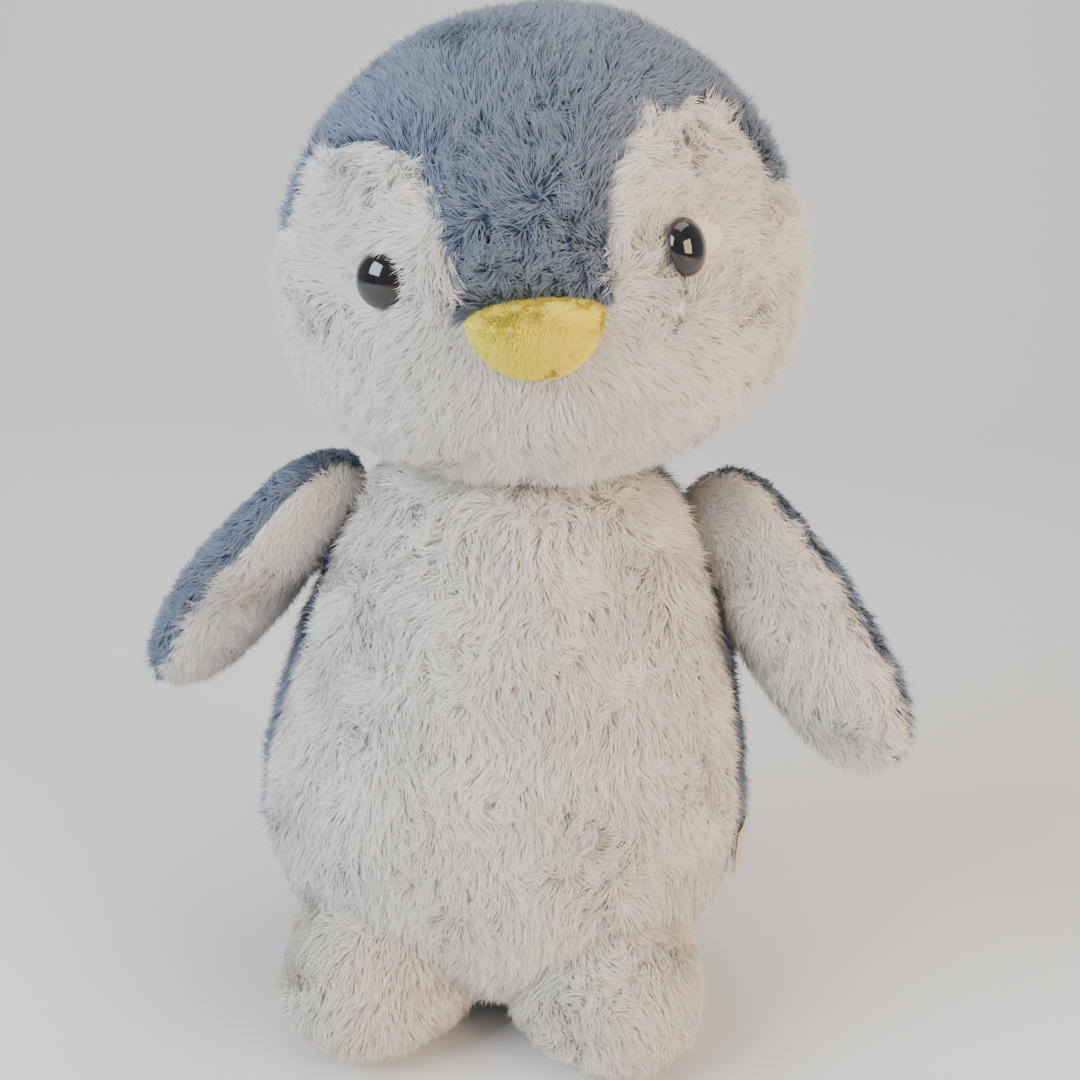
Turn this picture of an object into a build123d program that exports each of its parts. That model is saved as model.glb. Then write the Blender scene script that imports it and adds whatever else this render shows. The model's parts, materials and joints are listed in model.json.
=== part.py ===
"""A plush penguin that stands on its flat base and two splayed feet, in millimetres.

It faces -Y, with +X on the viewer's right and the origin on the floor under its middle. The
plush cloth is drawn as thick as its pile lies when combed, so the outside faces are the
fur's own surface. Each panel is a shell cut from a closed form, and its stuffing fills it.
"""

from build123d import *
from math import atan, cos, degrees, radians, sin, sqrt
import os

# Cloth
PLUSH = 5.0  # backing and combed pile together
NAP = 3.0  # the flattened nap of the soles
CLEAR = 0.3  # room left between pieces that move past each other
POLE_FLAT = 2.0  # little flat where a form's outline meets its own axis

# Body: a pear, wider than deep, on a flat base
BODY_HALF_WIDTH = 75.0
BODY_HALF_DEPTH = 59.0
BODY_WIDEST = 66.0  # height of its widest level
BODY_TOP = 167.0
BODY_TOP_RADIUS = 42.0
BODY_BASE_RADIUS = 34.0
BODY_BASE_FLAT = 20.0
SIDE_SEAM_Y = -13.0  # the white front meets the blue back a little ahead of the sides

# Neck: a wad of stuffing on which the head leans
NECK_HEIGHT = 157.0
NECK_RADIUS = 36.0
THREAD = 0.5  # radius of the sewing thread

# Head: sizes about its own centre, which leans to the viewer's left
HEAD_CENTRE_HEIGHT = 233.5
HEAD_TILT = 10.0
HEAD_HALF_WIDTH = 73.0
HEAD_HALF_DEPTH = 61.0
HEAD_WIDEST = -13.0
HEAD_TOP = 65.0
HEAD_TOP_RADIUS = 48.0
HEAD_CHIN = -65.0
HEAD_CHIN_RADIUS = 30.0
HEAD_CHIN_FLAT = 13.0
HEAD_SEAM_Y = 8.0  # white cheeks in front of it, blue panels behind

# White lobes round the eyes, and the blue gusset that comes down between them
LOBE_X = 42.5
LOBE_Z = 13.0
LOBE_RADIUS = 24.0
GUSSET_FOOT = -5.0  # its lower end, at the top of the beak
GUSSET_BACK_HALF_WIDTH = 26.0

# Beak: a half-moon cushion under the gusset
BEAK_RADIUS = 17.75
BEAK_TOP_Z = -3.0
BEAK_Y = -57.0
BEAK_EDGE_RADIUS = 4.0
BEAK_CLOTH = 2.0

# Safety eyes: a dome on a ridged shank, locked by a washer behind the cloth
EYE_X = 39.5
EYE_Z = 6.0
EYE_RADIUS = 7.5
EYE_PROUD = 1.0
EYE_DOME = 5.0
SHANK_RADIUS = 2.0
SHANK_LENGTH = 13.0
WASHER_RADIUS = 8.0
WASHER_THICK = 1.5

# Wings: flat stuffed flippers, sewn on at a gathered root
WING_PIVOT = (65.6, 0.0, 153.0)
WING_LENGTH = 84.0  # pivot to tip
WING_ROOT_RADIUS = 10.0
WING_HALF_WIDTH = 22.5
WING_HALF_THICK = 13.0
WING_LENS_RADIUS = 33.0  # roundness of its two broad faces
WING_TIP_LENGTH = 32.6  # from its widest level to the tip
WING_TIP_RADIUS = 15.75
WING_SPLAY = {"left": 34.0, "right": 39.0}  # out from hanging straight down
WING_SWING = {"left": 14.0, "right": -24.0}  # back is positive
WING_TWIST = {"left": 28.0, "right": 55.0}  # how far the white face turns to the front

# Feet: blocks sewn under the front of the body, toes outward
FOOT_X = 32.0
FOOT_Y = -27.0
FOOT_SPLAY = 26.0
FOOT_HALF_WIDTH = 28.5
FOOT_HALF_LENGTH = 38.0
FOOT_WIDEST = 16.0
FOOT_TOP = 54.0
FOOT_TOP_RADIUS = 16.0
FOOT_SOLE_DROP = 22.0  # the rounded underside reaches this far below the widest level
FOOT_SOLE_RADIUS = 18.0
FOOT_FLAT = 8.0

# Label loop in the side seam, and the closing stitches down the middle of the back
LABEL_HEIGHT = 14.0
LABEL_LENGTH = 13.0
LABEL_THICK = 1.2
LABEL_Z = 48.0
LABEL_TURN = 64.0
STITCH_COUNT = 8
STITCH_SPACING = 5.0
STITCH_LENGTH = 5.0
STITCH_LOWEST = 62.0
STITCH_Y = 54.5

BIG = 400.0  # larger than the whole toy
SIDES = {"left": -1, "right": 1}

os.makedirs("parts", exist_ok=True)


def save(piece, name):
    """Label a finished piece and write it."""
    piece.label = name
    export_step(piece, f"parts/{name}.step")


def slab(low, high, plane=Plane.XY):
    """All the space between two heights above a plane."""
    with BuildPart() as space:
        with BuildSketch(plane.offset(low)):
            Rectangle(BIG, BIG)
        extrude(amount=high - low)
    return space.part


def arcs_to_pole(run, rise, tip_radius):
    """Two tangent arcs from a widest point to a pole: the first one's radius and angle."""
    angle = 2 * atan((run - tip_radius) / (rise - tip_radius))
    return tip_radius + (rise - tip_radius) / sin(angle), degrees(angle)


def profile(radius, widest, up, down, inset):
    """Half an outline of tangent arcs, drawn in by inset. up and down: (rise, tip radius, flat)."""
    with BuildSketch() as half:
        with BuildLine():
            ends = []
            for way, (rise, tip_radius, flat) in ((1, up), (-1, down)):
                side_radius, angle = arcs_to_pole(radius - flat, rise, tip_radius)
                side = JernArc((radius - inset, widest), (0, way), side_radius - inset, way * angle)
                tip = JernArc(side @ 1, side % 1, tip_radius - inset, way * (90 - angle))
                ends.append(tip @ 1)
            (top_x, top_z), (low_x, low_z) = [(end.X, end.Y) for end in ends]
            Polyline((top_x, top_z), (0, top_z), (0, low_z), (low_x, low_z))
        make_face()
    return half.sketch


def soft_form(half_width, half_depth, widest, up, down, inset):
    """A closed soft form, wider than deep: two turned halves with a straight run between."""
    core = half_width - half_depth
    half = profile(half_depth, widest, up, down, inset)
    with BuildPart() as form:
        with BuildSketch(Plane.YZ):
            add(half)
            mirror(about=Plane.YZ)
        extrude(amount=core, both=True)
        with BuildSketch(Plane.YZ.offset(core)):
            add(half)
        revolve(axis=Axis((core, 0, 0), (0, 0, -1)), revolution_arc=180)
        mirror(about=Plane.YZ)
    return form.part


def ball(centre, radius):
    """A ball of space round a point."""
    with BuildPart() as space:
        with Locations(centre):
            Sphere(radius)
    return space.part


# ------------------------------------------------------------------ forms


def body_form(inset):
    """The pear-shaped body on its flat base, drawn in from its surface by inset."""
    up = (BODY_TOP - BODY_WIDEST, BODY_TOP_RADIUS, POLE_FLAT)
    down = (BODY_WIDEST, BODY_BASE_RADIUS, BODY_BASE_FLAT)
    return soft_form(BODY_HALF_WIDTH, BODY_HALF_DEPTH, BODY_WIDEST, up, down, inset)


def head_form(inset):
    """The round head, fuller below its middle, about its own centre."""
    up = (HEAD_TOP - HEAD_WIDEST, HEAD_TOP_RADIUS, POLE_FLAT)
    down = (HEAD_WIDEST - HEAD_CHIN, HEAD_CHIN_RADIUS, HEAD_CHIN_FLAT)
    return soft_form(HEAD_HALF_WIDTH, HEAD_HALF_DEPTH, HEAD_WIDEST, up, down, inset)


def wing_form(inset):
    """A flipper along +Z from its root: a round carrot between two gently round faces."""
    widest = WING_LENGTH - WING_TIP_LENGTH
    side_radius, angle = arcs_to_pole(WING_HALF_WIDTH - POLE_FLAT, WING_TIP_LENGTH, WING_TIP_RADIUS)
    with BuildPart() as form:
        with BuildSketch(Plane.XZ):
            with BuildLine():
                side = JernArc((WING_HALF_WIDTH - inset, widest), (0, 1), side_radius - inset, angle)
                tip = JernArc(side @ 1, side % 1, WING_TIP_RADIUS - inset, 90 - angle)
                root = (WING_ROOT_RADIUS - inset, 0)
                neck = TangentArc((WING_HALF_WIDTH - inset, widest), root, tangent=(0, -1))
                heel = CenterArc((0, 0), root[0], 0, -90)
                Polyline(heel @ 1, (0, (tip @ 1).Y), tip @ 1)
            make_face()
        revolve(axis=Axis.Z)
        for way in SIDES.values():
            centre = (0, way * (WING_LENS_RADIUS - WING_HALF_THICK), 0)
            with Locations(centre):
                Cylinder(WING_LENS_RADIUS - inset, BIG, mode=Mode.INTERSECT)
    return form.part


def foot_form(inset):
    """A blunt foot along -Y, flat underneath."""
    up = (FOOT_TOP - FOOT_WIDEST, FOOT_TOP_RADIUS, FOOT_FLAT)
    down = (FOOT_SOLE_DROP, FOOT_SOLE_RADIUS, FOOT_FLAT)
    whole = soft_form(FOOT_HALF_LENGTH, FOOT_HALF_WIDTH, FOOT_WIDEST, up, down, inset)
    return Rot(0, 0, 90) * (whole & slab(0, BIG))


def beak_form(inset):
    """The lower half of a ball, its upper edge rounded over."""
    with BuildPart() as form:
        Sphere(BEAK_RADIUS - inset)
        split(bisect_by=Plane.XY, keep=Keep.BOTTOM)
        fillet(form.edges().group_by(Axis.Z)[-1], radius=BEAK_EDGE_RADIUS - inset / 2)
    return Pos(0, BEAK_Y, BEAK_TOP_Z - inset) * form.part


# ------------------------------------------------------------------ placing

head_place = Location((0, 0, HEAD_CENTRE_HEIGHT), (0, -HEAD_TILT, 0))
neck_centre = Vector(0, 0, NECK_HEIGHT)
neck_room = ball(neck_centre, NECK_RADIUS + CLEAR)

# ------------------------------------------------------------------ body

body_outer = body_form(0)
body_inner = body_form(PLUSH)
body_shell = body_outer - body_inner - neck_room

with BuildPart() as closing_thread:
    with Locations((0, STITCH_Y, STITCH_LOWEST)):
        for row in range(STITCH_COUNT):
            with Locations((0, 0, row * STITCH_SPACING)):
                Cylinder(THREAD, STITCH_LENGTH, rotation=(0, 90, 0))
save(closing_thread.part, "closing_thread")

with BuildPart() as base_panel:
    add(body_outer)
    add(slab(0, PLUSH), mode=Mode.INTERSECT)
save(base_panel.part, "base_panel")

with BuildPart() as belly_panel:
    add(body_shell)
    split(bisect_by=Plane.XY.offset(PLUSH), keep=Keep.TOP)
    split(bisect_by=Plane.XZ.offset(-SIDE_SEAM_Y), keep=Keep.TOP)
save(belly_panel.part, "belly_panel")

for side, sign in SIDES.items():
    with BuildPart() as back_panel:
        add(body_shell)
        split(bisect_by=Plane.XY.offset(PLUSH), keep=Keep.TOP)
        split(bisect_by=Plane.XZ.offset(-SIDE_SEAM_Y), keep=Keep.BOTTOM)
        split(bisect_by=Plane.YZ, keep=Keep.TOP if sign > 0 else Keep.BOTTOM)
        add(closing_thread.part, mode=Mode.SUBTRACT)
    save(back_panel.part, f"back_panel_{side}")

with BuildPart() as body_stuffing:
    add(body_inner)
    add(neck_room, mode=Mode.SUBTRACT)
save(body_stuffing.part, "body_stuffing")

with BuildPart() as side_label:
    seam_x = BODY_HALF_WIDTH - BODY_HALF_DEPTH + sqrt(BODY_HALF_DEPTH**2 - SIDE_SEAM_Y**2)
    with Locations(Location((seam_x - 2.0, SIDE_SEAM_Y, LABEL_Z), (0, 0, LABEL_TURN))):
        Box(LABEL_LENGTH, LABEL_THICK, LABEL_HEIGHT, align=(Align.MIN, Align.CENTER, Align.CENTER))
    fillet(side_label.edges().filter_by(Axis.Z).sort_by(Axis.Y)[-2:], radius=LABEL_THICK * 0.45)
    add(body_outer, mode=Mode.SUBTRACT)
save(side_label.part, "side_label")

# ------------------------------------------------------------------ neck

thread_rise = 10.0
thread_reach = sqrt((NECK_RADIUS - 1.2 * THREAD) ** 2 - thread_rise**2)
with BuildPart() as neck_seam_thread:
    with Locations(neck_centre + Vector(0, 0, thread_rise)):
        Torus(thread_reach, THREAD)
save(neck_seam_thread.part, "neck_seam_thread")

with BuildPart() as neck_stuffing:
    add(ball(neck_centre, NECK_RADIUS))
    add(neck_seam_thread.part, mode=Mode.SUBTRACT)
save(neck_stuffing.part, "neck_stuffing")

# ------------------------------------------------------------------ head, in its own upright frame

head_outer = head_form(0)
head_inner = head_form(PLUSH)
head_shell = head_outer - head_inner
neck_room_in_head = head_place.inverse() * neck_room
beak_outer = beak_form(0)
beak_inner = beak_form(BEAK_CLOTH)

# The region in front of the head seam that the two white cheeks cover
with BuildPart() as cheeks:
    with BuildSketch(Plane.XZ.offset(-HEAD_SEAM_Y)):
        for sign in SIDES.values():
            with Locations((sign * LOBE_X, LOBE_Z)):
                Circle(LOBE_RADIUS)
            with Locations((sign * (LOBE_X - LOBE_RADIUS), LOBE_Z)):
                Rectangle(BIG, BIG, align=(Align.MIN if sign > 0 else Align.MAX, Align.MAX))
        with Locations((0, GUSSET_FOOT)):
            Rectangle(BIG, BIG, align=(Align.CENTER, Align.MAX))
    extrude(amount=BIG)


def eye_place(sign):
    """The frame of one eye, on the head's surface, with Z pointing out of the face."""
    core = HEAD_HALF_WIDTH - HEAD_HALF_DEPTH
    rise = HEAD_TOP - HEAD_WIDEST
    side_radius, _ = arcs_to_pole(HEAD_HALF_DEPTH - 2, rise, HEAD_TOP_RADIUS)
    lift = EYE_Z - HEAD_WIDEST
    reach = HEAD_HALF_DEPTH - side_radius + sqrt(side_radius**2 - lift**2)
    x = EYE_X - core
    y = -sqrt(reach**2 - x**2)
    outward = Vector(sign * x, y, lift * reach / side_radius)
    return Plane(origin=(sign * EYE_X, y, EYE_Z), x_dir=(1, 0, 0), z_dir=outward.normalized())


eye_seats = []  # space that the cheeks leave for the domes and shanks
washer_seats = []  # space that the stuffing leaves for the washers and shanks
for side, sign in SIDES.items():
    face = eye_place(sign)
    seat_depth = EYE_DOME - EYE_PROUD
    with BuildPart() as eye:
        with BuildSketch(face.offset(-seat_depth)):
            Circle(EYE_RADIUS)
        extrude(amount=1.0)
        dome_radius = (EYE_RADIUS**2 + EYE_DOME**2) / (2 * EYE_DOME)
        dome = ball((0, 0, 0), dome_radius)
        add(face.offset(EYE_PROUD - dome_radius).location * dome, mode=Mode.ADD)
        split(bisect_by=face.offset(-seat_depth), keep=Keep.TOP)
        with BuildSketch(face.offset(-seat_depth)):
            Circle(SHANK_RADIUS)
        extrude(amount=-SHANK_LENGTH)
    save(head_place * eye.part, f"eye_{side}")

    washer_depth = PLUSH + 1.0 + WASHER_THICK
    with BuildPart() as washer:
        with BuildSketch(face.offset(-washer_depth)):
            Circle(WASHER_RADIUS)
            Circle(SHANK_RADIUS, mode=Mode.SUBTRACT)
        extrude(amount=WASHER_THICK)
    save(head_place * washer.part, f"eye_washer_{side}")

    with BuildPart() as eye_seat:
        with BuildSketch(face.offset(-seat_depth)):
            Circle(EYE_RADIUS + CLEAR)
        extrude(amount=BIG / 4)
        with BuildSketch(face.offset(-seat_depth)):
            Circle(SHANK_RADIUS)
        extrude(amount=-SHANK_LENGTH)
    eye_seats.append(eye_seat.part)
    with BuildPart() as washer_seat:
        with BuildSketch(face.offset(-washer_depth)):
            Circle(WASHER_RADIUS)
        extrude(amount=WASHER_THICK)
    washer_seats.append(washer_seat.part)

for side, sign in SIDES.items():
    half = Keep.TOP if sign > 0 else Keep.BOTTOM
    with BuildPart() as cheek:
        add(head_shell)
        add(cheeks.part, mode=Mode.INTERSECT)
        split(bisect_by=Plane.YZ, keep=half)
        add([neck_room_in_head, *eye_seats], mode=Mode.SUBTRACT)
    save(head_place * cheek.part, f"cheek_{side}")

gusset_strip = slab(-GUSSET_BACK_HALF_WIDTH, GUSSET_BACK_HALF_WIDTH, Plane.YZ)
with BuildPart() as crown_gusset:
    add(head_shell)
    add(gusset_strip, mode=Mode.INTERSECT)
    add([cheeks.part, neck_room_in_head], mode=Mode.SUBTRACT)
save(head_place * crown_gusset.part, "crown_gusset")

for side, sign in SIDES.items():
    half = Keep.TOP if sign > 0 else Keep.BOTTOM
    with BuildPart() as head_back:
        add(head_shell)
        split(bisect_by=Plane.YZ, keep=half)
        add([gusset_strip, cheeks.part, neck_room_in_head], mode=Mode.SUBTRACT)
    save(head_place * head_back.part, f"head_back_{side}")

with BuildPart() as head_stuffing:
    add(head_inner)
    add([neck_room_in_head, *eye_seats, *washer_seats], mode=Mode.SUBTRACT)
save(head_place * head_stuffing.part, "head_stuffing")

# ------------------------------------------------------------------ beak

beak_seam = Plane.XY.offset(BEAK_TOP_Z - 0.6 * BEAK_RADIUS)
for name, half in {"upper": Keep.TOP, "lower": Keep.BOTTOM}.items():
    with BuildPart() as beak_cloth:
        add(beak_outer)
        add([beak_inner, head_outer], mode=Mode.SUBTRACT)
        split(bisect_by=beak_seam, keep=half)
    save(head_place * beak_cloth.part, f"beak_{name}")

with BuildPart() as beak_stuffing:
    add(beak_inner)
    add(head_outer, mode=Mode.SUBTRACT)
save(head_place * beak_stuffing.part, "beak_stuffing")

# ------------------------------------------------------------------ wings

wing_outer = wing_form(0)
wing_inner = wing_form(PLUSH)


def wing_place(side, sign):
    """The frame of one wing at its pivot: Z toward the tip, -Y out of the white face."""
    splay = radians(WING_SPLAY[side])
    swing = radians(WING_SWING[side])
    tipward = Vector(sign * sin(splay), cos(splay) * sin(swing) / cos(swing), -cos(splay))
    tipward = tipward.normalized()
    # With no twist the white face looks down and inward, and the twist turns it to the front
    inward = Vector(-sign * cos(splay), 0, -sin(splay))
    front = tipward.cross(inward) * (1 if sign < 0 else -1)
    twist = radians(WING_TWIST[side])
    white = (inward * cos(twist) + front * sin(twist)).normalized()
    width = (-white).cross(tipward).normalized()
    pivot = (sign * WING_PIVOT[0], WING_PIVOT[1], WING_PIVOT[2])
    return Plane(origin=pivot, x_dir=width, z_dir=tipward).location


for side, sign in SIDES.items():
    place = wing_place(side, sign)
    for name, half in {"inner": Keep.TOP, "outer": Keep.BOTTOM}.items():
        with BuildPart() as wing_cloth:
            add(wing_outer)
            add(wing_inner, mode=Mode.SUBTRACT)
            split(bisect_by=Plane.XZ, keep=half)
        save(place * wing_cloth.part, f"wing_{name}_{side}")
    with BuildPart() as wing_stuffing:
        add(wing_inner)
    save(place * wing_stuffing.part, f"wing_stuffing_{side}")

# ------------------------------------------------------------------ feet

for side, sign in SIDES.items():
    place = Location((sign * FOOT_X, FOOT_Y, 0), (0, 0, sign * FOOT_SPLAY))
    foot_outer = place * foot_form(0)
    foot_inner = place * foot_form(PLUSH)
    above_sole = slab(NAP, BIG)
    with BuildPart() as foot_sole:
        add(foot_outer)
        add(slab(0, NAP), mode=Mode.INTERSECT)
        add(body_outer, mode=Mode.SUBTRACT)
    save(foot_sole.part, f"foot_sole_{side}")
    with BuildPart() as foot_upper:
        add(foot_outer)
        add(above_sole, mode=Mode.INTERSECT)
        add([foot_inner, body_outer], mode=Mode.SUBTRACT)
    save(foot_upper.part, f"foot_upper_{side}")
    with BuildPart() as foot_stuffing:
        add(foot_inner)
        add(above_sole, mode=Mode.INTERSECT)
        add(body_outer, mode=Mode.SUBTRACT)
    save(foot_stuffing.part, f"foot_stuffing_{side}")
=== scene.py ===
"""Looks for the plush penguin: sewn skins, combed pile, beak, eyes, label, light and camera.

Sizes inside the classes are millimetres, like the maker's pattern, and MM turns them into the
scene's metres when a mesh is made.
"""

import json
import logging
import math
from dataclasses import dataclass, field, replace
from enum import Enum
from functools import cache
from typing import Callable, Sequence

import bpy
import numpy as np
from mathutils import Matrix, Vector


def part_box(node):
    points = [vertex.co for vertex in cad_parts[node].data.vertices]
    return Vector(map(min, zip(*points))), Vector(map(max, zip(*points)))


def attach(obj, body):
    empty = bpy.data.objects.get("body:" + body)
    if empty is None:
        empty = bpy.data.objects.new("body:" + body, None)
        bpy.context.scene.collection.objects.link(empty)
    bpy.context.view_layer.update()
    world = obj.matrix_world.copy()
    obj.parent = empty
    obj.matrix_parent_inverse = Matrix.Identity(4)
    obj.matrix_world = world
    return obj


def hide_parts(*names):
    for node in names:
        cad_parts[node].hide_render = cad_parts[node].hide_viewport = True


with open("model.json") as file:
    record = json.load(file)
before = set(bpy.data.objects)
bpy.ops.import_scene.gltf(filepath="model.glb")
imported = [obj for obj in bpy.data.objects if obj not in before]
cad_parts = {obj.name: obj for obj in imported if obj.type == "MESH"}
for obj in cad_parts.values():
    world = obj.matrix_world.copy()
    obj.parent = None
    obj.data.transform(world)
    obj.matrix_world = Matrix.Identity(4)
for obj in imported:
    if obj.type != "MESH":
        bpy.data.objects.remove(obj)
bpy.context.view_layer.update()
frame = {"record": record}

MM = 0.001
log = logging.getLogger("penguin")
Points = np.ndarray


# ---------------------------------------------------------------- frame helpers


def box_mm(*nodes: str) -> tuple[np.ndarray, np.ndarray]:
    """The box round some CAD nodes.

    Args:
        nodes: names of CAD nodes.

    Returns:
        The lowest and the highest corner, in millimetres.
    """
    boxes = [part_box(node) for node in nodes]
    low = np.min([np.array(b[0], float) for b in boxes], axis=0) / MM
    high = np.max([np.array(b[1], float) for b in boxes], axis=0) / MM
    return low, high


def joint_point(name: str) -> np.ndarray:
    """Where a joint turns, in millimetres.

    Args:
        name: the joint's name in the record.

    Returns:
        The point on its axis.
    """
    joints = frame["record"]["behaviour"]["joints"]
    return np.array(next(j["pos_m"] for j in joints if j["name"] == name), float) / MM


class Body(Enum):
    """The CAD bodies that pieces ride on."""

    TORSO = "torso"
    NECK = "neck"
    HEAD = "head"
    LEFT_WING = "left_wing"
    RIGHT_WING = "right_wing"


class Side(Enum):
    """The viewer's left and right."""

    LEFT = -1
    RIGHT = 1

    @property
    def word(self) -> str:
        """The side's word in node names."""
        return self.name.lower()

    @property
    def wing_body(self) -> Body:
        """The body of the wing on this side."""
        return Body.LEFT_WING if self is Side.LEFT else Body.RIGHT_WING


# ---------------------------------------------------------------- materials


@dataclass(frozen=True)
class PlushDye:
    """The colours of one plush cloth along its pile, from the root, darkened with painted shade between the
    strands, to the lighter tip.
    """

    name: str
    slot: str
    root: tuple[float, float, float]
    middle: tuple[float, float, float]
    tip: tuple[float, float, float]
    fleck: float = 0.10
    sheen: float = 0.35
    roughness: float = 0.62
    glow: float = 0.40


class Shader:
    """A small builder for one node material."""

    def __init__(self, name: str, roughness: float) -> None:
        """Start a material with one Principled shader.

        Args:
            name: its name.
            roughness: how rough the surface is.
        """
        self.material = bpy.data.materials.new(name)
        self.material.use_nodes = True
        self.nodes = self.material.node_tree.nodes
        self.links = self.material.node_tree.links
        self.principled = self.nodes["Principled BSDF"]
        self.principled.inputs["Roughness"].default_value = roughness

    def node(self, kind: str, **values: object) -> bpy.types.Node:
        """Add a node.

        Args:
            kind: the node's type, without its ShaderNode prefix.
            values: properties to set on it.

        Returns:
            The new node.
        """
        made = self.nodes.new("ShaderNode" + kind)
        for key, value in values.items():
            setattr(made, key, value)
        return made

    def join(self, start: bpy.types.NodeSocket, end: bpy.types.NodeSocket) -> None:
        """Link one socket to another."""
        self.links.new(start, end)

    def noise(self, scale: float, detail: float = 2.0) -> bpy.types.Node:
        """A noise in the object's own metres.

        Args:
            scale: its frequency, per metre.
            detail: how many octaves it has.

        Returns:
            The noise node.
        """
        place = self.node("TexCoord")
        noise = self.node("TexNoise")
        noise.inputs["Scale"].default_value = scale
        noise.inputs["Detail"].default_value = detail
        self.join(place.outputs["Object"], noise.inputs["Vector"])
        return noise

    def ramp(self, stops: Sequence[tuple[float, tuple[float, float, float]]]) -> bpy.types.Node:
        """A colour ramp.

        Args:
            stops: places from 0 to 1 and their colours.

        Returns:
            The ramp node.
        """
        ramp = self.node("ValToRGB")
        elements = ramp.color_ramp.elements
        while len(elements) < len(stops):
            elements.new(0.5)
        for element, (place, colour) in zip(elements, stops):
            element.position = place
            element.color = (*colour, 1.0)
        return ramp

    def mottle(
        self, scale: float, detail: float, low: tuple[float, tuple], high: tuple[float, tuple]
    ) -> bpy.types.Node:
        """Colour the surface between two tones with a noise.

        Args:
            scale: the noise's frequency, per metre.
            detail: its octaves.
            low: where on it the first tone ends, and that tone.
            high: where the second begins, and that tone.

        Returns:
            The noise node.
        """
        noise = self.noise(scale, detail)
        colours = self.ramp([low, high])
        self.join(noise.outputs["Fac"], colours.inputs["Fac"])
        self.join(colours.outputs["Color"], self.principled.inputs["Base Color"])
        return noise

    def bump(self, height: bpy.types.NodeSocket, distance: float, strength: float = 0.5) -> None:
        """Raise the surface by a height.

        Args:
            height: the socket that gives it.
            distance: how high a height of one is, in metres.
            strength: how much of it shows.
        """
        bump = self.node("Bump")
        bump.inputs["Distance"].default_value = distance
        bump.inputs["Strength"].default_value = strength
        self.join(height, bump.inputs["Height"])
        self.join(bump.outputs["Normal"], self.principled.inputs["Normal"])


@cache
def pile_material(dye: PlushDye) -> bpy.types.Material:
    """The finish of a plush pile: painted shade darkens it toward the roots, between the strands, and it is
    lighter and flecked at the tips.

    Args:
        dye: the cloth's colours.

    Returns:
        The material.
    """
    shader = Shader(dye.name, dye.roughness)
    shader.principled.inputs["Sheen Weight"].default_value = dye.sheen
    shader.principled.inputs["Sheen Roughness"].default_value = 0.4
    shader.principled.inputs["Specular IOR Level"].default_value = 0.25
    along = shader.node("Attribute", attribute_name="along")
    fleck = shader.node("Attribute", attribute_name="fleck")
    # The ramp from root to tip paints the shade that falls between the strands.
    colours = shader.ramp([(0.0, dye.root), (0.45, dye.middle), (1.0, dye.tip)])
    shader.join(along.outputs["Fac"], colours.inputs["Fac"])
    cloud = shader.noise(42.0, 3.0)
    lightness = shader.node("Math", operation="MULTIPLY_ADD")
    shader.join(fleck.outputs["Fac"], lightness.inputs[0])
    lightness.inputs[1].default_value = dye.fleck * 2
    lightness.inputs[2].default_value = 1.0 - dye.fleck
    both = shader.node("Math", operation="MULTIPLY_ADD")
    shader.join(cloud.outputs["Fac"], both.inputs[0])
    both.inputs[1].default_value = 0.30
    shader.join(lightness.outputs[0], both.inputs[2])
    value = shader.node("Math", operation="SUBTRACT")
    shader.join(both.outputs[0], value.inputs[0])
    value.inputs[1].default_value = 0.15
    tone = shader.node("HueSaturation")
    shader.join(value.outputs[0], tone.inputs["Value"])
    shader.join(colours.outputs["Color"], tone.inputs["Color"])
    shader.join(tone.outputs["Color"], shader.principled.inputs["Base Color"])
    glow = shader.node("BsdfTranslucent")
    shader.join(tone.outputs["Color"], glow.inputs["Color"])
    both_ways = shader.node("MixShader")
    both_ways.inputs[0].default_value = dye.glow
    shader.join(shader.principled.outputs[0], both_ways.inputs[1])
    shader.join(glow.outputs[0], both_ways.inputs[2])
    shader.join(both_ways.outputs[0], shader.nodes["Material Output"].inputs["Surface"])
    return shader.material


@cache
def knit_material(dye: PlushDye) -> bpy.types.Material:
    """The knitted backing under a pile, mottled between the pile's root and middle tones, so it carries the
    root's painted shade.

    Args:
        dye: the cloth's colours.

    Returns:
        The material.
    """
    shader = Shader(dye.name + "_backing", 0.9)
    # The root tone here is darkened with painted shade.
    noise = shader.mottle(900.0, 3.0, (0.3, dye.root), (0.8, dye.middle))
    shader.bump(noise.outputs["Fac"], 0.0004)
    return shader.material


# Each root colour is darkened with painted shade between the strands.
WHITE = PlushDye("white_pile", "white_plush", (0.84, 0.80, 0.75), (0.90, 0.87, 0.83), (0.94, 0.92, 0.89), 0.04)
CREAM = PlushDye("cream_pile", "white_plush", (0.82, 0.77, 0.70), (0.88, 0.84, 0.78), (0.93, 0.90, 0.84), 0.04)
SOLE = PlushDye("sole_pile", "sole_plush", (0.60, 0.57, 0.52), (0.68, 0.65, 0.60), (0.78, 0.75, 0.70), 0.05)
BLUE = PlushDye("blue_pile", "blue_plush", (0.09, 0.125, 0.19), (0.195, 0.25, 0.345), (0.36, 0.42, 0.52), 0.14)
YELLOW = PlushDye(
    "yellow_fleece", "yellow_fleece", (0.92, 0.74, 0.03), (0.95, 0.80, 0.05), (0.97, 0.85, 0.09), 0.04,
    glow=0.15,
)


def gloss_black() -> bpy.types.Material:
    """Polished black plastic with the faint swirl of a moulded eye.

    Returns:
        The material.
    """
    shader = Shader("polished_eye", 0.06)
    shader.mottle(160.0, 1.0, (0.35, (0.004, 0.004, 0.006)), (0.7, (0.012, 0.010, 0.011)))
    shader.principled.inputs["Coat Weight"].default_value = 0.6
    shader.principled.inputs["Coat Roughness"].default_value = 0.03
    return shader.material


def moulded_white() -> bpy.types.Material:
    """Milky plastic of the washers, with fine moulding marks.

    Returns:
        The material.
    """
    shader = Shader("washer_plastic", 0.45)
    shader.mottle(500.0, 2.0, (0.2, (0.70, 0.70, 0.68)), (0.8, (0.80, 0.80, 0.78)))
    return shader.material


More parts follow.
